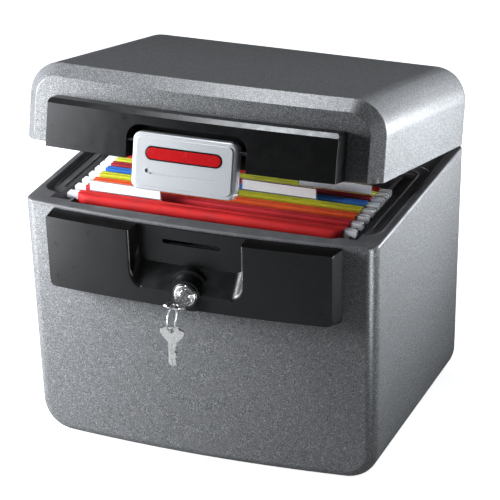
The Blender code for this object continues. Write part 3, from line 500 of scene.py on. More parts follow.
def speckled_plastic():
    """Textured grey moulding with dark and bright flecks, under a soft wide cloud."""
    s = Shader("speckled_plastic")
    fine, wide = s.noise(1050, 2.5, 0.6), s.noise(260, 3.0, 0.55)
    flecks = s.ramp(fine, (0.32, 0.070), (0.43, 0.135), (0.52, 0.185), (0.60, 0.27), (0.70, 0.46))
    cloud = s.ramp(wide, (0.35, (0.88, 0.89, 0.91)), (0.65, (1.10, 1.10, 1.12)))
    s.set("Base Color", s.mix(1.0, flecks, cloud, "MULTIPLY"))
    s.set("Roughness", s.levels(s.noise(600, 3), 0.28, 0.42))
    s.bump(s.noise(760, 3, 0.6), 0.00030, 0.45)
    return s.material


def moulded_plastic(name, tone, tint, roughness, grain=0.00006):
    """Dark satin moulding with a fine grain, faint flow marks and a few rubbed patches."""
    s = Shader(name)
    rubbed = s.levels(s.noise(38, 5, 0.65), 0.0, 1.0, 0.48, 0.75)
    darker, lighter = [c * tone for c in tint], [c * tone * 1.45 + 0.001 for c in tint]
    s.set("Base Color", s.mix(rubbed, darker, lighter))
    worn = s.levels(s.noise(90, 4), roughness - 0.03, roughness + 0.04)
    s.set("Roughness", s.sum(worn, rubbed, 0.02))
    s.bump(s.noise(2600, 2, 0.6), grain, 0.6)
    s.bump(s.noise(14, 2), 0.0002, 0.12)
    return s.material


def latch_paint():
    """Pearly silver-white lacquer."""
    s = Shader("latch_paint")
    pearl = s.noise(2400, 2, 0.7)
    s.set("Base Color", s.ramp(pearl, (0.3, (0.50, 0.505, 0.52)), (0.7, (0.60, 0.605, 0.62))))
    s.set("Metallic", 0.10)
    s.set("Roughness", s.levels(s.noise(55, 2), 0.30, 0.36))
    s.set("Coat Weight", 0.3)
    s.set("Coat Roughness", 0.15)
    s.bump(pearl, 0.00002, 0.3)
    return s.material


def polished_metal(name, colour, roughness, brushed=(1, 1, 1), grain=700):
    """Plated metal with fine scratches along one direction and a little tarnish."""
    s = Shader(name, metallic=1.0)
    lines = s.noise(grain, 3, 0.6, s.stretched(brushed))
    tarnish = s.noise(160, 4, 0.6)
    s.set("Base Color", s.ramp(tarnish, (0.3, tuple(c * 0.82 for c in colour)), (0.62, colour)))
    scratched = s.levels(lines, roughness * 0.7, roughness * 1.4)
    s.set("Roughness", s.sum(scratched, tarnish, roughness * 0.4))
    s.bump(lines, 0.00001, 0.15)
    return s.material


def fire_insulation():
    """Pale foamed cement with dented pores, painted darker inside as shade."""
    s = Shader("fire_insulation")
    pore_dents_and_shade = s.cells(420)
    # Painted shade: the cement is darker at each pore, as if shaded inside it. The same mask dents the
    # pores through the bump.
    s.set("Base Color", s.ramp(pore_dents_and_shade, (0.05, (0.42, 0.40, 0.37)), (0.35, (0.74, 0.72, 0.68))))
    s.set("Roughness", 0.92)
    s.bump(pore_dents_and_shade, 0.0008, 0.8)
    return s.material


def mottled(name, colour, roughness, grain, coat=0.0):
    """A finish of three noises, each a scale and detail, then colour stops, a range or a bump."""
    s = Shader(name)
    s.set("Base Color", s.ramp(s.noise(*colour[0]), *colour[1:]))
    s.set("Roughness", s.levels(s.noise(*roughness[0]), *roughness[1:]))
    s.set("Coat Weight", coat)
    s.bump(s.noise(*grain[0]), *grain[1:])
    return s.material


def badge_enamel(name, dark, light):
    colour = ((700, 2), (0.3, dark), (0.7, light))
    return mottled(name, colour, ((90, 3), 0.18, 0.28), ((1800, 2), 0.00002, 0.4), coat=0.5)


def folder_paper(name, colour):
    """Dyed card with short fibres and faint mottling."""
    s = Shader(f"paper_{name}")
    fibres = s.noise(1300, 3, 0.65, s.stretched((0.35, 1, 1)))
    mottle = s.noise(45, 4, 0.6)
    pale = tuple(min(1.0, c * 0.95 + 0.02) for c in colour)
    deep = tuple(c * 0.80 for c in colour)
    tone = s.mix(s.levels(mottle, 0.0, 1.0, 0.35, 0.65), deep, colour)
    s.set("Base Color", s.mix(s.levels(fibres, 0.0, 0.5, 0.5, 0.8), tone, pale))
    s.set("Roughness", s.levels(mottle, 0.62, 0.78))
    s.set("Sheen Weight", 0.02)
    s.bump(fibres, 0.00008, 0.6)
    return s.material


def clear_plastic():
    s = Shader("clear_plastic")
    s.set("Base Color", (0.93, 0.95, 0.97, 1))
    s.set("Transmission Weight", 0.85)
    s.set("IOR", 1.3)
    s.set("Roughness", s.levels(s.noise(300, 3), 0.05, 0.14))
    s.bump(s.noise(60, 2), 0.0002, 0.3)
    return s.material


def coated_rod():
    """Steel bar whose hooked ends are dipped in white plastic."""
    s = Shader("coated_rod")
    from_middle = s.node("Math", [(0, s.axis(0))])
    from_middle.operation = "ABSOLUTE"
    ragged = s.sum(from_middle.outputs[0], s.noise(900, 2), 0.0012)
    dipped = s.levels(ragged, 0.0, 1.0, FOLDER_HALF + 0.0010, FOLDER_HALF + 0.0018)
    steel = s.ramp(s.noise(700, 3, 0.6, s.stretched((0.05, 1, 1))), (0.3, 0.42), (0.7, 0.62))
    s.set("Base Color", s.mix(dipped, steel, (0.80, 0.81, 0.83)))
    s.set("Metallic", s.levels(dipped, 1.0, 0.0, 0.0, 1.0))
    s.set("Roughness", s.levels(dipped, 0.3, 0.42, 0.0, 1.0))
    s.bump(s.noise(1200, 2), 0.00004, 0.5)
    return s.material


GREY = (1.0, 1.0, 1.03)
CASE = speckled_plastic()
PANEL = moulded_plastic("panel_plastic", 0.006, GREY, 0.30)
RIM = moulded_plastic("rim_plastic", 0.170, GREY, 0.36)
LATCH = latch_paint()
CHROME = polished_metal("chrome", (0.86, 0.86, 0.87), 0.17)
DARK_STEEL = polished_metal("dark_steel", (0.09, 0.09, 0.095), 0.30)
ZINC = polished_metal("zinc_steel", (0.55, 0.56, 0.57), 0.28, (0.06, 1, 1))
KEY_METAL = polished_metal("key_metal", (0.78, 0.77, 0.75), 0.22, (1, 1, 0.1))
INSULATION = fire_insulation()
RUBBER = mottled(
    "gasket_rubber", ((300, 4), (0.35, 0.012), (0.7, 0.035)),
    ((120, 3), 0.62, 0.82), ((1500, 2), 0.0001, 0.5),
)
CARD = mottled(
    "label_card", ((900, 3), (0.3, (0.74, 0.76, 0.80)), (0.7, (0.86, 0.87, 0.90))),
    ((200, 3), 0.45, 0.6), ((1400, 2), 0.00003, 0.4),
)
CLEAR = clear_plastic()
BADGE_RED = badge_enamel("badge_red", (0.42, 0.008, 0.012), (0.58, 0.015, 0.018))
BADGE_BLACK = badge_enamel("badge_black", (0.006, 0.006, 0.006), (0.012, 0.012, 0.012))
ROD = coated_rod()
FOLDER_COLOURS = (
    ("red", (0.62, 0.010, 0.012)),
    ("crimson", (0.56, 0.012, 0.025)),
    ("orange", (0.78, 0.105, 0.010)),
    ("olive", (0.56, 0.55, 0.020)),
    ("blue", (0.020, 0.160, 0.52)),
    ("maroon", (0.38, 0.015, 0.030)),
    ("lime", (0.60, 0.62, 0.050)),
    ("scarlet", (0.62, 0.020, 0.020)),
)


# ---------------------------------------------------------------- body

def cavity_loops(grow, levels, corner=CAVITY_CORNER):
    """Loops of the document cavity's outline. Each level is a height and how far out it is drawn."""
    return [
        plan_loop(
            CAVITY_HALF + grow + out, CAVITY_FRONT - grow - out, CAVITY_REAR + grow + out,
            corner + grow + out, z, CAVITY_BOW,
        )
        for z, out in levels
    ]


def lock_window():
    """Room for the lock and the latch hook behind the front panel."""
    left, right = -0.045, 0.054
    return box((left, front_y(0.02), PANEL_LOW), (right, CAVITY_FRONT, RIM_BASE - 0.0013))


def body_shell():
    top = SEAM - WALL
    outer = follow_body(case_block(0, 0, top, BODY_CORNER, BODY_EDGE, open_at=top))
    above = SEAM + 0.01
    hollow = follow_body(case_block(WALL, WALL, above, BODY_CORNER, BODY_EDGE, open_at=above))
    shell = cut(cut(outer, hollow), lock_window())
    add_piece("case_body", shell, CASE, "body", "body_shell")


def rim_outline(inset, z):
    corner = max(BODY_EDGE - inset, 0.004)
    return plan_loop(WIDTH / 2 - inset, FRONT + inset, REAR - inset, corner, z, BOW)


def rim_bowl():
    """A shallow bowl round the sides and back, with soft slopes."""
    edge, slope, half_depth, corner, steps = 0.0055, 0.0095, 0.002, 0.016, 8
    levels = []
    for step in range(steps + 1):
        part = 1 - step / steps
        rise, apart = half_depth * (1 + math.cos(math.pi * part)), 0.00001 * step
        levels.append((edge + slope * part, RIM_FLOOR + rise + apart))
    levels.append((0.0054, SEAM + 0.01))
    front = FRONT + RIM_STRIP
    return loft([
        plan_loop(WIDTH / 2 - inset, front + inset, REAR - inset, corner, z, BOW) for inset, z in levels
    ])


def rim_trench(side):
    """The groove outside a folder rail, its outer wall leaning out."""
    inner, outer, lean = CAVITY_HALF + RAIL_WIDTH, CAVITY_HALF + 0.0135, 0.006
    low = (min(side * inner, side * outer), CAVITY_FRONT + 0.001, TRENCH_FLOOR)
    high = (max(side * inner, side * outer), CAVITY_REAR - 0.001, SEAM + 0.002)
    bm = box(low, high)
    for vert in bm.verts:
        if vert.co.z > SEAM and abs(vert.co.x) > inner + 0.001:
            vert.co.x += side * lean
    return bm


def seal_rib(half, rear):
    corner, front, radius = 0.016, -0.096, 0.0010
    right = [(half, front), *arc((half - corner, rear - corner), corner, 0, 90, 12)]
    return wire([(x, y, RIM_FLOOR) for x, y in right + mirrored(right)], radius)


def body_rim():
    """A flange over the shell's edge, rounded outside, with a dished top, rails and low ribs."""
    low = SEAM - WALL + GAP
    soft = 0.0022
    turns = steps_of(6)
    edge = [rim_outline(soft - soft * math.sin(a), SEAM - soft + soft * math.cos(a)) for a in turns]
    flange = loft([rim_outline(0, low), *reversed(edge)])
    inset = WALL + GAP
    plate = loft([rim_outline(inset, RIM_BASE), rim_outline(inset, low + 0.001)])
    rim = cut(union(flange, plate), rim_bowl())
    top = SEAM + 0.0002
    well = [
        (RIM_BASE - 0.05, 0.0), (SEAM - 0.0016, 0.0), (SEAM - 0.0006, 0.0004), (top, 0.0018),
        (SEAM + 0.01, 0.0020),
    ]
    rim = cut(rim, loft(cavity_loops(0, well)))
    reach = CAVITY_HALF + RAIL_WIDTH + 0.001
    rail = box((-reach, CAVITY_FRONT + 0.001, RAIL_TOP), (reach, CAVITY_REAR - 0.001, SEAM + 0.002))
    rim = cut(rim, rail)
    for side in (-1, 1):
        rim = cut(rim, rim_trench(side))
    for half, rear in SEAL_RIBS:
        rim = union(rim, seal_rib(half, rear))
    add_piece("rim", rim, RIM, "body", "body_rim", sharp=30)


def steps_of(count, angle=math.pi / 2):
    return [angle * step / count for step in range(count + 1)]


def body_liner():
    soft = 0.006

    def tub(grow, bottom, high):
        curve = [(bottom + soft - soft * math.cos(a), -soft + soft * math.sin(a)) for a in steps_of(5)]
        return loft(cavity_loops(grow, [*curve, (high, 0.0)]))

    liner = cut(tub(LINER, CAVITY_FLOOR - LINER, RIM_BASE - GAP), tub(0, CAVITY_FLOOR, SEAM))
    add_piece("inner_liner", liner, RIM, "body", "body_liner")


# ---------------------------------------------------------------- front panels

def flat_panel(proud, low, high, front_low, upper_corner, lower_corner):
    """A panel drawn flat with the case's front at y 0. Its ends lean in and its base may slope."""
    bm = box((-PANEL_HALF, -proud, low), (PANEL_HALF, -GAP, high))
    for vert in bm.verts:
        if vert.co.y < -proud / 2:
            vert.co.x *= 1 - PANEL_TAPER / PANEL_HALF
            vert.co.z = max(vert.co.z, front_low)
    deep = [e for e in bm.edges if abs(e.verts[0].co.y - e.verts[1].co.y) > proud / 2]
    middle = (low + high) / 2
    upper = [e for e in deep if e.verts[0].co.z > middle]
    lower = [e for e in deep if e.verts[0].co.z < middle]
    bevel(bm, upper, upper_corner, 5)
    return bevel(bm, lower, lower_corner, 6) if lower_corner else bm


def latch_recess():
    """The scoop under the latch. Its base slopes, and its sides draw in towards the case."""
    outside, midway, narrowing = PANEL_PROUD + 0.010, -0.01, 0.975
    steepness = (RECESS_HEEL - RECESS_LIP) / (PANEL_PROUD - RECESS_WALL)
    low = RECESS_HEEL - steepness * (outside - RECESS_WALL)
    bm = box((-RECESS_HALF, -outside, low), (RECESS_HALF, -RECESS_WALL, SEAM + 0.01))
    for vert in bm.verts:
        if vert.co.y > midway:
            vert.co.x *= narrowing
            if vert.co.z < SEAM:
                vert.co.z = RECESS_HEEL
    floor = [e for e in bm.edges if not along(e, 0) and all(v.co.z < SEAM - 0.01 for v in e.verts)]
    return bevel(bm, floor, 0.012, 8)


def recess_lip(bm):
    """The edges that the recess makes in the panel's face."""
    near, far, flat, sharp = RECESS_HALF - 0.013, RECESS_HALF + 0.002, 0.0002, 0.6
    found = []
    for edge in bm.edges:
        on_face = all(abs(v.co.y + PANEL_PROUD) < flat for v in edge.verts)
        at_side = all(near < abs(v.co.x) < far and v.co.z < PANEL_HIGH + 0.001 for v in edge.verts)
        if on_face and at_side and len(edge.link_faces) == 2 and edge.calc_face_angle() > sharp:
            found.append(edge)
    return found


def body_front_panel():
    bm = flat_panel(PANEL_PROUD, PANEL_LOW - 0.006, PANEL_HIGH, PANEL_LOW, 0.002, 0.006)
    bm = cut(bm, latch_recess())
    face = -PANEL_PROUD - 0.0004
    z = LOCK.z
    boss = union(
        rod(0.0245, (0, -0.0015, z), (0, -0.0125, z), end_radius=0.0235),
        rod(0.0195, (0, -0.0120, z), (0, face, z), end_radius=0.0165),
    )
    bm = union(bm, boss)
    bm = cut(bm, rod(LOCK_BODY + GAP, (0, -0.05, z), (0, 0.01, z)))
    bm = cut(bm, slot_cutter())
    bm = rounded_edges(bevel(bm, recess_lip(bm), 0.0030, 5), 0.0013)
    slice_across(bm, PANEL_HALF, BOW_STEPS)
    add_piece("body_panel", follow_body(moved(bm, (0, FRONT, 0))), PANEL, "body", "body_front_panel")


def slot_cutter():
    bm = box((-SLOT_HALF, -0.01, SLOT_LOW), (SLOT_HALF, 0.01, SLOT_HIGH))
    return bevel(bm, front_to_back(bm), 0.0022, 5)


def ledge_cutter():
    """Takes the lid panel's upper front edge off at 45 degrees."""
    bm = box((-0.2, -0.05, 0), (0.2, 0.05, 0.05))
    middle = (0, -LID_PANEL_PROUD + LID_PANEL_CHAMFER / 2, LID_PANEL_TOP + LID_PANEL_CHAMFER / 2)
    turn = Matrix.Translation(middle) @ Matrix.Rotation(math.radians(45), 4, "X")
    bmesh.ops.transform(bm, matrix=turn, verts=bm.verts)
    return bm


def lid_front_panel():
    bm = flat_panel(LID_PANEL_PROUD, SEAM_GAP, LID_PANEL_LEDGE, SEAM_GAP, 0.004, 0)
    bm = cut(bm, ledge_cutter())
    bay = box((-BAY_HALF, -0.05, -0.05), (BAY_HALF, -BAY_BACK, BAY_TOP))
    bevel(bay, front_to_back(bay, BAY_TOP), BAY_CORNER, 10)
    bm = cut(bm, bay)
    x = BAY_HALF + 0.006
    y, z = LATCH_HINGE_FLAT
    bm = cut(bm, rod(PIN_RADIUS + GAP, (-x, y, z), (x, y, z), 24))
    bm = rounded_edges(bm, 0.0009)
    slice_across(bm, PANEL_HALF, BOW_STEPS)
    panel = bowed(moved(bm, (0, FRONT, SEAM)))
    add_piece("lid_panel", panel, PANEL, "lid", "lid_front_panel")


# ---------------------------------------------------------------- latch

CLOSED_PIVOT = LID_TURN.inverted() @ LATCH_PIVOT
LATCH_HINGE_FLAT = (CLOSED_PIVOT.y - FRONT + BOW, CLOSED_PIVOT.z - SEAM)


def slab(half, low, high, back, face, corner, edge, steps=5):
    """A rounded plate facing the front, drawn flat, with softened front edges."""
    bm = box((-half, -face, low), (half, -back, high))
    bevel(bm, front_to_back(bm), corner, 10)
    return bevel(bm, [e for e in bm.edges if ends_at(e, 1, -face)], edge, steps)


def latch_handle():
    """A lacquered pull with a raised face, a seat for the badge, a dot and a fine groove."""
    bm = slab(LATCH_HALF, LATCH_LOW, LATCH_TOP, LATCH_BACK, LATCH_FACE - 0.0010, LATCH_CORNER, 0.0030)
    inset = 0.0042
    raised = slab(
        LATCH_HALF - inset, LATCH_LOW + inset, LATCH_TOP - inset, LATCH_BACK + 0.004, LATCH_FACE,
        corner=0.0060, edge=0.0009, steps=3,
    )
    bm = union(bm, raised)
    y, z = LATCH_HINGE_FLAT
    past_end = 0.08
    bm = cut(bm, rod(PIN_RADIUS + GAP, (-past_end, y, z), (past_end, y, z), 24))
    spring_room = box((-0.011, y - 0.0056, z - 0.0066), (0.011, y + 0.03, z + 0.0078))
    bm = cut(bm, spring_room)
    bm = cut(bm, badge_plate(0.0004, LATCH_FACE - 0.0008, LATCH_FACE + 0.01))
    dot_x, dot_z, groove_end = -0.0395, -0.0085, 0.0365
    dot_radius = 0.0022
    dot_front, dot_floor = (dot_x, -LATCH_FACE - 0.01, dot_z), (dot_x, -LATCH_FACE + 0.0016, dot_z)
    bm = cut(bm, rod(dot_radius, dot_front, dot_floor, 24))
    line_z = dot_z - dot_radius
    groove = rod(0.0009, (dot_x + 0.0030, -LATCH_FACE, line_z), (groove_end, -LATCH_FACE, line_z), 12)
    bm = cut(bm, groove)
    slice_across(bm, LATCH_HALF, 16)
    latch = bowed(moved(bm, (0, FRONT, SEAM)))
    add_piece("latch_cover", latch, LATCH, "latch", "latch_handle", sharp=30)


def badge_plate(grow, back, face, rounding=0.0):
    half, low, high = BADGE_HALF + grow, BADGE_LOW - grow, BADGE_HIGH + grow
    bm = box((-half, -face, low), (half, -back, high))
    bevel(bm, front_to_back(bm), (high - low) / 2 - 0.0002, 10)
    if rounding:
        bevel(bm, [e for e in bm.edges if ends_at(e, 1, -face)], rounding, 2)
    return bm


def latch_badge():
    """A plain red enamel field on a black plate."""
    back, face = LATCH_FACE - 0.0007, LATCH_FACE + 0.0002
    layers = []
    for grow, behind, front in ((0, back, face), (-0.0013, face - 0.0002, face + 0.0003)):
        layer = badge_plate(grow, behind, front, 0.0002)
        slice_across(layer, BADGE_HALF, 16)
        layers.append(bowed(moved(layer, (0, FRONT, SEAM))))
    black, red = layers
    add_piece("badge", black, BADGE_BLACK, "latch", "latch_badge", second=(red, BADGE_RED))


# ---------------------------------------------------------------- lock and keys

CASE_AT_LOCK = Vector((0, front_y(0, LOCK.z), LOCK.z))


def lock_pieces():
    x, y, z = CASE_AT_LOCK
    through = ((x, y - 0.05, z), (x, y + 0.05, z))
    flange, rounding = PANEL_PROUD + 0.0008, 0.0014
    edge = arc((LOCK_RADIUS - rounding, LOCK_FACE - rounding), rounding, 0, 90, 8)
    groove_floor = LOCK_FACE - 0.0003
    groove = [
        (LOCK_RADIUS - 0.0032, LOCK_FACE), (LOCK_RADIUS - 0.0034, groove_floor),
        (LOCK_RADIUS - 0.0040, groove_floor), (LOCK_RADIUS - 0.0042, LOCK_FACE),
    ]
    barrel = [(LOCK_BODY, LOCK_REAR + 0.002), (LOCK_BODY, flange), (LOCK_RADIUS, flange)]
    profile = [*barrel, *edge, *groove]
    housing = cut(turned(profile, CASE_AT_LOCK), rod(PLUG_RADIUS + GAP, *through))
    add_piece("lock_face", housing, CHROME, "body", "lock_housing")
    rises = ((0.0138, 0.0), (0.0138, 0.0006), (0.0135, 0.0010), (0.0130, 0.0014))
    profile = [(radius, flange + ahead) for radius, ahead in rises]
    collar = cut(turned(profile, CASE_AT_LOCK), rod(LOCK_RADIUS + GAP, *through))
    add_piece("lock_collar", collar, DARK_STEEL, "body", "lock_bezel")
    face, soft = LOCK_FACE + 0.0002, 0.0006
    edge = arc((PLUG_RADIUS - soft, face - soft), soft, 30, 90, 2)
    profile = [(PLUG_RADIUS, LOCK_REAR), (PLUG_RADIUS, face - soft), *edge]
    keyway = box((x - 0.0046, y - 0.05, z - 0.0013), (x + 0.0046, y + 0.001, z + 0.0013))
    tail, half = y - LOCK_REAR, 0.002
    tail_bar = box((x - half, tail - 0.001, z - half), (x + half, tail + 0.003, z + half))
    plug = union(cut(turned(profile, CASE_AT_LOCK), keyway), tail_bar)
    add_piece("lock_core", plug, CHROME, "lock", "lock_plug")


def key_outline(bow_half, bow_long, blade_half, blade_long):
    """A key seen flat, its shoulder at the origin: a bow with cut corners, and a blade with bitting."""
    neck = blade_half + 0.0012
    bits = (0.0012, 0.0021, 0.0008, 0.0017, 0.0010)
    pitch = (blade_long - 0.008) / len(bits)
    cuts = []
    for index, deep in enumerate(bits):
        v = -0.0045 - pitch * index
        floor = blade_half - deep
        cuts += [(blade_half, v), (floor, v - pitch * 0.35), (floor, v - pitch * 0.6)]
    cuts.reverse()
    bow = [
        (neck, 0.0), (bow_half * 0.80, 0.0052), (bow_half, bow_long - 0.0058),
        (bow_half - 0.0006, bow_long - 0.0036), (bow_half - 0.0052, bow_long - 0.0022),
        (bow_half - 0.0066, bow_long),
    ]
    shoulder, tip = -0.0010, -blade_long + 0.0032
    right = [(blade_half - 0.0006, tip), *cuts, (blade_half, shoulder), *bow]
    left = [*mirrored(bow), (-blade_half, shoulder), (-blade_half, tip)]
    return [(0.0, -blade_long), *right, *left]


def milled_key(bow_half, bow_long, blade_half, blade_long, hole):
    """A key lying in the XY plane, with a milled groove and a hole in its bow."""
    outline = key_outline(bow_half, bow_long, blade_half, blade_long)
    key = sheet(outline, KEY_THICK, Matrix.Identity(4), 0.00025)
    half, deep = 0.0009, 0.0005
    for side in (-1, 1):
        face = side * KEY_THICK / 2
        floor = face - side * deep
        low = (-half, -blade_long + 0.001, min(face, floor))
        high = (half, -0.0015, max(face + side * 0.001, floor))
        key = cut(key, box(low, high))
    radius, up = hole
    return cut(key, rod(radius, (0, up, -0.01), (0, up, 0.01), 32))


def keys():
    x, y, z = CASE_AT_LOCK
    bow = 0.0290
    key = milled_key(0.0125, bow, 0.0042, 0.0260, (0.0036, bow - 0.006))
    place = Matrix.Translation((x, y - KEY_SHOULDER, z)) @ Matrix.Diagonal((1, -1, 1, 1))
    bmesh.ops.transform(key, matrix=place, verts=key.verts)
    add_piece("working_key", key, KEY_METAL, "lock", "key_in_lock")
    radius, bow = 0.0024, 0.0165
    up = SPARE_TOP.z + 0.0009 + GAP - radius
    key = milled_key(0.0140, bow, 0.0046, 0.0290, (radius, bow - 0.0045))
    place = Matrix.Translation((SPARE_TOP.x, SPARE_TOP.y, up - bow + 0.0045)) @ UPRIGHT_XZ
    bmesh.ops.transform(key, matrix=place, verts=key.verts)
    add_piece("hanging_key", key, KEY_METAL, "spare_key", "spare_key")


def split_ring():
    """Two close coils of round wire."""
    turns, per_turn, gauge = 2, 48, RING_WIRE
    x, y, z = SPARE_TOP.x, SPARE_TOP.y, SPARE_TOP.z + RING_RADIUS
    points = []
    for step in range(turns * per_turn + 1):
        turn = math.tau * step / per_turn
        aside = gauge * (step / per_turn - turns / 2)
        points.append((x + aside, y + RING_RADIUS * math.sin(turn), z + RING_RADIUS * math.cos(turn)))
    add_piece("split_ring", wire(points, gauge / 2, resolution=3), ZINC, "key_ring", "key_ring")


# ---------------------------------------------------------------- lid

LID_LOW, LID_TOP = SEAM + SEAM_GAP, SEAM + LID_HEIGHT
GASKET_HALF, GASKET_FRONT, GASKET_REAR, GASKET_CORNER = 0.1735, -0.1415, 0.0700, 0.018
GASKET_HALF_BREADTH, GASKET_HIGH = 0.0055, 0.0025


def lid_block(inset, low, top):
    return bowed(case_block(inset, low, top, LID_CORNER, LID_EDGE, front_band=LID_BAND, open_at=low))


def lid_shell():
    shell = cut(lid_block(0, LID_LOW, LID_TOP), lid_block(WALL, LID_LOW - 0.01, LID_TOP - WALL))
    add_piece("case_lid", shell, CASE, "lid", "lid_shell")


def lid_tray(grow, low, top):
    soft = 0.008
    curve = [(top - soft + soft * math.sin(a), -soft + soft * math.cos(a)) for a in steps_of(6)]
    return loft(cavity_loops(grow, [(low, 0.0), *curve], corner=0.012))


def lid_liner():
    inset = WALL + GAP
    corner = max(LID_EDGE - inset, 0.004)

    def plate_loop(z):
        return plan_loop(WIDTH / 2 - inset, FRONT + inset, REAR - inset, corner, z, BOW)

    liner = loft([plate_loop(LID_LOW), plate_loop(LID_LOW + LID_PLATE)])
    top = SEAM + LID_HOLLOW
    liner = union(liner, lid_tray(LINER, LID_LOW + 0.002, top + LINER))
    liner = cut(liner, lid_tray(0, LID_LOW - 0.01, top))
    liner = cut(liner, gasket_ring(GAP, LID_LOW - 0.01, LID_LOW + GASKET_HIGH + GAP, 0))
    add_piece("lid_inner", liner, RIM, "lid", "lid_liner", sharp=30)


def gasket_ring(grow, low, high, soft):
    """A flat ring round the tray, with soft lower edges."""
    half = GASKET_HALF_BREADTH + grow

    def outline(offset, z):
        front, rear = GASKET_FRONT - offset, GASKET_REAR + offset
        return plan_loop(GASKET_HALF + offset, front, rear, GASKET_CORNER + offset, z, 0)

    loops = [outline(-half, high), outline(half, high), outline(half, low + soft)]
    if soft:
        loops += [outline(half - soft, low), outline(-half + soft, low)]
    return loft([*loops, outline(-half, low + soft)], cyclic=True)


def lid_gasket():
    gasket = gasket_ring(0, LID_LOW, LID_LOW + GASKET_HIGH, 0.0008)
    add_piece("gasket", gasket, RUBBER, "lid", "lid_gasket")


# ---------------------------------------------------------------- hinges

KNUCKLE_RADIUS, HINGE_PIN_RADIUS = 0.0037, 0.0018
HINGE_HALF, HINGE_REACH = 0.026, 0.032
LEAF_NEAR, LEAF_FAR = REAR + GAP, REAR + GAP + 0.002
RIVET = ((0.0032, 0.0006), (0.0032, 0.0), (0.0026, -0.0006), (0.0013, -0.0010))


def knuckle(x_from, x_to):
    return rod(KNUCKLE_RADIUS, (x_from, HINGE.y, HINGE.z), (x_to, HINGE.y, HINGE.z), 40)


def rivets(bm, centre, z):
    """Low domed rivet heads on a hinge leaf."""
    for offset in (-0.016, 0.0, 0.016):
        bm = union(bm, moved(turned(RIVET, (0, 0, 0), 24), (centre + offset, LEAF_FAR, z)))
    return bm


def leaf_plate(centre, low, high, tip):
    bm = box((centre - HINGE_HALF, LEAF_NEAR, low), (centre + HINGE_HALF, LEAF_FAR, high))
    return bevel(bm, front_to_back(bm, tip), 0.005, 6)


def hinge(name):
    low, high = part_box(f"hinge_leaf_body_{name}")
    centre = (low.x + high.x) / 2
    third, past_end = HINGE_HALF / 3, 0.05
    ends = [(centre + side * past_end, HINGE.y, SEAM) for side in (-1, 1)]
    bore = rod(HINGE_PIN_RADIUS + GAP, *ends, 32)
    leaf = leaf_plate(centre, SEAM - HINGE_REACH, SEAM - 0.0010, SEAM - HINGE_REACH)
    leaf = follow_body(rivets(leaf, centre, SEAM - 0.020))
    for start, end in ((-HINGE_HALF, -third - GAP), (third + GAP, HINGE_HALF)):
        leaf = union(leaf, knuckle(centre + start, centre + end))
    low = (centre - third - GAP, LEAF_NEAR - 0.001, SEAM - 0.0052)
    high = (centre + third + GAP, LEAF_FAR + 0.01, SEAM + 0.01)
    leaf = cut(cut(leaf, box(low, high)), bore.copy())
    add_piece(f"body_leaf_{name}", leaf, ZINC, "body", f"hinge_leaf_body_{name}", sharp=30)
    leaf = leaf_plate(centre, SEAM + 0.0052, SEAM + HINGE_REACH, SEAM + HINGE_REACH)
    leaf = rivets(leaf, centre, SEAM + 0.020)
    bridge = box((centre - third, LEAF_NEAR, SEAM + 0.0005), (centre + third, LEAF_FAR, SEAM + 0.0060))
    leaf = union(leaf, bridge)
    leaf = cut(union(leaf, knuckle(centre - third, centre + third)), bore)
    add_piece(f"lid_leaf_{name}", leaf, ZINC, "lid", f"hinge_leaf_lid_{name}", sharp=30)


# ---------------------------------------------------------------- hanging folders

def hem_path(sign, panel):
    """Paper's middle line from the fold up to the hem, over the rod and down to the hem's glued edge."""
    half, middle = HEM_HALF, ROD_OFFSET
    top = FOLDER_HIGH - PAPER / 2 - half
    loop = [(middle - half, HEM_LOW + 0.001), (middle - half, top)]
    loop += arc((middle, top), half, 150, 30, 4)
    rise = (top - HEM_LOW - 0.0006) / 8
    loop += [(middle + half, top - rise * step) for step in range(9)]
    path = [*reversed(panel), *reversed(loop)]
    return [(sign * y, z) for y, z in path]


def puffed(x, z, puff):
    """How far a bellied hem stands forward at a place on the panel. It closes up at both ends."""
    tall, closing = 0.0135, 0.012
    up = (z - (FOLDER_HIGH - tall)) / tall
    if not 0 < up < 1:
        return 0.0
    end = min(1.0, (FOLDER_HALF - abs(x)) / closing)
    return puff * math.sqrt(1 - (2 * up - 1) ** 2) * math.sqrt(max(end, 0.0) * (2 - end))


def folder_sheet(index, y, spreads, puff):
    """A folder as one sheet: rear panel, fold and front panel, each with a hem round its rod.

    puff is how far the front panel bellies forward just under its hem.
    """
    front_low, front_mid, rear_low = spreads
    panel_steps, stations, wave_size, free_height = 8, 61, 0.0011, 0.05

    def panel(low, mid):
        joint = ROD_OFFSET + HEM_HALF
        rows = []
        for step in range(panel_steps + 1):
            t = step / panel_steps
            z = FOLDER_LOW + PAPER + (HEM_LOW - 0.002 - FOLDER_LOW) * t
            bulge = (mid - low) * math.sin(math.pi * t ** 2.2)
            rows.append((low * (1 - t) + joint * t + bulge, z))
        return rows[::-1]

    rear = hem_path(1, panel(rear_low, rear_low))
    path = [*reversed(rear), *hem_path(-1, panel(front_low, front_mid))]
    bm = bmesh.new()
    rows = []
    for station in range(stations):
        x = -FOLDER_HALF + 2 * FOLDER_HALF * station / (stations - 1)
        row = []
        for p, z in path:
            loose = max(0.0, min(1.0, (HEM_LOW - z) / free_height))
            wave = noise.noise(Vector((x * 9, z * 7, index * 5.3 + (0.7 if p > 0 else 0.0))))
            forward = puffed(x, z, puff) if p < -ROD_OFFSET else 0.0
            row.append(bm.verts.new((x, y + p - forward + wave_size * loose * wave, z)))
        rows.append(row)
    for left, right in zip(rows, rows[1:]):
        for low, high in zip(range(len(path) - 1), range(1, len(path))):
            bm.faces.new((left[low], right[low], right[high], left[high]))
    return bm


def thickened(bm, thickness):
    """A sheet given thickness on both sides."""
    obj = operand(bm)
    solidify = obj.modifiers.new("thickness", "SOLIDIFY")
    solidify.thickness = thickness
    solidify.offset = 0
    return finished(obj)


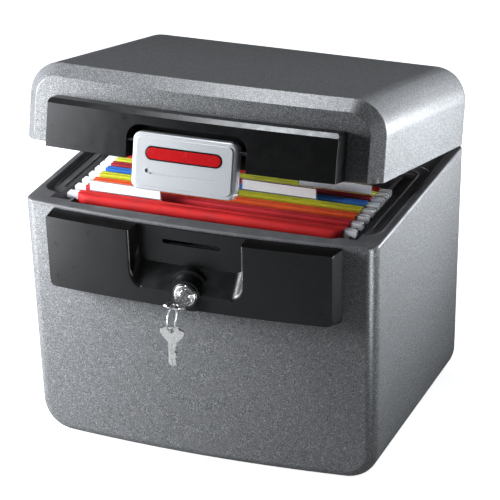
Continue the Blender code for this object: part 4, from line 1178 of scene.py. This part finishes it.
def rod_outline():
    """A flat bar with a notch near each end that hooks over a rail."""
    notch_in, notch_out = CAVITY_HALF - 0.0008, CAVITY_HALF + RAIL_WIDTH + 0.0010
    seat, soft, chamfer, tip = RAIL_TOP + GAP, 0.0004, 0.0006, 0.0026
    hook_low = ROD_LOW + 0.0012
    right = [
        (0.0, ROD_LOW), (notch_in - chamfer, ROD_LOW), (notch_in, ROD_LOW + chamfer),
        (notch_in, seat - soft), (notch_in + soft, seat), (notch_out - soft, seat),
        (notch_out, seat - soft), (notch_out, ROD_LOW + 0.0018), (notch_out + chamfer, hook_low),
        (ROD_HALF - 0.0012, hook_low), (ROD_HALF, ROD_LOW + 0.0024),
        *arc((ROD_HALF - tip, ROD_HIGH - tip), tip, 0, 90, 5),
    ]
    return right + mirrored(right[1:])


def folder(number, name, colour):
    pocket, body = f"folder_{number}_pocket", f"folder_{number}"
    rods = [f"{body}_{place}_rod" for place in ("front", "rear")]
    centres = [(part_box(rod_name)[0].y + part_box(rod_name)[1].y) / 2 for rod_name in rods]
    y = sum(centres) / 2
    slack = 0.0026
    spreads = (0.0075, 0.0150, slack) if number == 1 else (slack, slack, slack)
    paper = thickened(folder_sheet(number, y, spreads, 0.0055 if number == 1 else 0.0006), PAPER)
    add_piece(f"hanging_file_{name}", paper, folder_paper(name, colour), body, pocket, sharp=50)
    for rod_name, centre in zip(rods, centres):
        bar = sheet(rod_outline(), ROD_THICK, Matrix.Translation((0, centre, 0)) @ UPRIGHT_XZ, 0.0002)
        add_piece(f"{rod_name}_bar", bar, ROD, body, rod_name)


def label_tab(node, body, card):
    """A clear sleeve on a folder's rear hem. Three of them hold a blank card."""
    low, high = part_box(node)
    thick = high.y - low.y
    place = Matrix.Translation((0, (low.y + high.y) / 2, 0)) @ UPRIGHT_XZ

    def plate(margin, thickness, corner):
        right, left, top = high.x - margin, low.x + margin, high.z - margin
        outline = [
            (left, low.z + margin), (right, low.z + margin),
            *arc((right - corner, top - corner), corner, 0, 90, 5),
            *arc((left + corner, top - corner), corner, 90, 180, 5),
        ]
        return sheet(outline, thickness, place, min(0.00012, thickness / 4))

    sleeve, held = plate(0, thick, 0.002), None
    if card:
        border = 0.0011
        sleeve = cut(sleeve, plate(border - GAP / 2, 3 * thick, 0.001))
        held = (plate(border, thick * 0.7, 0.001), CARD)
    add_piece(f"{node}_sleeve", sleeve, CLEAR, body, node, second=held)


# ---------------------------------------------------------------- assembly

def repaint_cad_nodes():
    """The pieces that keep their CAD shape get a finished material. The latch pin's dark steel is also
    painted shade.
    """
    kept = {
        INSULATION: ("body_insulation", "lid_insulation"),
        ZINC: ("strike_plate", "lock_nut", "lock_cam", "latch_hook", "latch_spring"),
        # The latch pin takes the dark steel so that where it shows at the bay's sides it reads as the
        # black shade there: its darkness is painted shade.
        DARK_STEEL: ("hinge_pin_left", "hinge_pin_right", "latch_pin"),
    }
    for finish, nodes in kept.items():
        for node in nodes:
            mesh = frame["nodes"][node].data
            mesh.materials.clear()
            mesh.materials.append(finish)


def build():
    repaint_cad_nodes()
    for make in (
        body_shell, body_rim, body_liner, body_front_panel, lock_pieces, keys, split_ring,
        lid_shell, lid_liner, lid_gasket, lid_front_panel, latch_handle, latch_badge,
    ):
        make()
    for name in ("left", "right"):
        hinge(name)
    for number, (name, colour) in enumerate(FOLDER_COLOURS, 1):
        folder(number, name, colour)
    for place, number in (("front", 1), ("middle", 4), ("right", 6), ("clear", 7)):
        label_tab(f"label_tab_{place}", f"folder_{number}", card=place != "clear")


# ---------------------------------------------------------------- studio

def seen_white(tree, plain, white):
    """Mixes a plain colour for light with white for the camera."""
    path = tree.nodes.new("ShaderNodeLightPath")
    mix = tree.nodes.new("ShaderNodeMixShader")
    tree.links.new(path.outputs["Is Camera Ray"], mix.inputs[0])
    tree.links.new(plain, mix.inputs[1])
    tree.links.new(white, mix.inputs[2])
    return mix.outputs[0]


def studio_world():
    world = bpy.data.worlds.new("studio")
    world.use_nodes = True
    tree = world.node_tree
    ambient = tree.nodes["Background"]
    ambient.inputs["Color"].default_value = (0.92, 0.95, 1.0, 1)
    ambient.inputs["Strength"].default_value = 0.05
    backdrop = tree.nodes.new("ShaderNodeBackground")
    backdrop.inputs["Color"].default_value = (1, 1, 1, 1)
    output = tree.nodes["World Output"]
    mixed = seen_white(tree, ambient.outputs[0], backdrop.outputs[0])
    tree.links.new(mixed, output.inputs["Surface"])
    bpy.context.scene.world = world


def studio_floor():
    bm = bmesh.new()
    bmesh.ops.create_grid(bm, x_segments=1, y_segments=1, size=6)
    mesh = mesh_of("floor", bm)
    material = bpy.data.materials.new("floor")
    material.use_nodes = True
    tree = material.node_tree
    surface = tree.nodes["Principled BSDF"]
    surface.inputs["Base Color"].default_value = (0.42, 0.42, 0.42, 1)
    surface.inputs["Roughness"].default_value = 0.9
    surface.inputs["Specular IOR Level"].default_value = 0.1
    paper = tree.nodes.new("ShaderNodeBsdfDiffuse")
    paper.inputs["Color"].default_value = (0.8, 0.8, 0.8, 1)
    lifted = tree.nodes.new("ShaderNodeAddShader")
    glow = tree.nodes.new("ShaderNodeEmission")
    glow.inputs["Strength"].default_value = 0.75
    tree.links.new(paper.outputs[0], lifted.inputs[0])
    tree.links.new(glow.outputs[0], lifted.inputs[1])
    mixed = seen_white(tree, surface.outputs[0], lifted.outputs[0])
    tree.links.new(mixed, tree.nodes["Material Output"].inputs["Surface"])
    mesh.materials.append(material)
    floor = object_of("floor", mesh)
    floor.location.z = -0.0005


def studio_light(name, position, target, size, power, spread=180, diffuse=True):
    """A soft area light that the camera doesn't see. A card lights reflections only."""
    light = bpy.data.lights.new(name, "AREA")
    light.shape = "RECTANGLE"
    light.size, light.size_y = size
    light.energy = power
    light.spread = math.radians(spread)
    light.color = (0.93, 0.965, 1.0)
    lamp = object_of(name, light)
    lamp.visible_camera = False
    lamp.visible_diffuse = diffuse
    lamp.location = position
    aim = Vector(target) - Vector(position)
    lamp.rotation_euler = aim.to_track_quat("-Z", "Y").to_euler()


def studio_camera():
    """A long lens from the front, turned to the right, above, and rolled a little."""
    position, sensor, lens = (1.02317, -2.53243, 1.41374), 36, 197.65
    azimuth, elevation, roll = (math.radians(a) for a in (22.0, 24.3, -1.2))
    flat = math.cos(elevation)
    back = Vector((math.sin(azimuth) * flat, -math.cos(azimuth) * flat, math.sin(elevation)))
    level = Vector((math.cos(azimuth), math.sin(azimuth), 0))
    up = back.cross(level)
    right = math.cos(roll) * level + math.sin(roll) * up
    up = math.cos(roll) * up - math.sin(roll) * level
    data = bpy.data.cameras.new("camera")
    data.sensor_width, data.lens = sensor, lens
    camera = object_of("camera", data)
    axes = Matrix((right, up, back)).transposed().to_4x4()
    camera.matrix_world = Matrix.Translation(position) @ axes
    bpy.context.scene.camera = camera


build()
studio_world()
studio_floor()
studio_light("left_softbox", (-0.95, -0.50, 0.52), (-0.15, -0.12, 0.30), (0.40, 0.45), 24)
studio_light("front_softbox", (-0.72, -0.70, 0.50), (-0.12, -0.12, 0.30), (0.40, 0.45), 3.5)
studio_light("rear_softbox", (0.75, 0.50, 0.30), (0.19, -0.02, 0.40), (0.3, 0.3), 1.8, spread=60)
studio_light("right_softbox", (1.0, 0.25, 0.40), (0.19, -0.02, 0.40), (0.3, 0.3), 1.1, spread=60)
studio_light("top_softbox", (-0.20, 0.20, 1.7), (0, 0, 0.35), (0.7, 0.7), 8)
studio_light("top_strip", (-0.25, -0.16, 1.6), (0.05, -0.20, 0.4), (0.45, 0.25), 9, diffuse=False)
studio_light("left_card", (-0.52, -0.42, 0.03), (0.02, -0.20, 0.20), (0.22, 0.30), 3.0, diffuse=False)
studio_light("right_card", (0.46, -0.42, 0.03), (0.18, -0.17, 0.16), (0.20, 0.28), 4.0, diffuse=False)
studio_camera()
bpy.context.scene.view_settings.view_transform = "Standard"
bpy.context.scene.view_settings.exposure = 0.15
bpy.context.scene.view_settings.gamma = 0.87
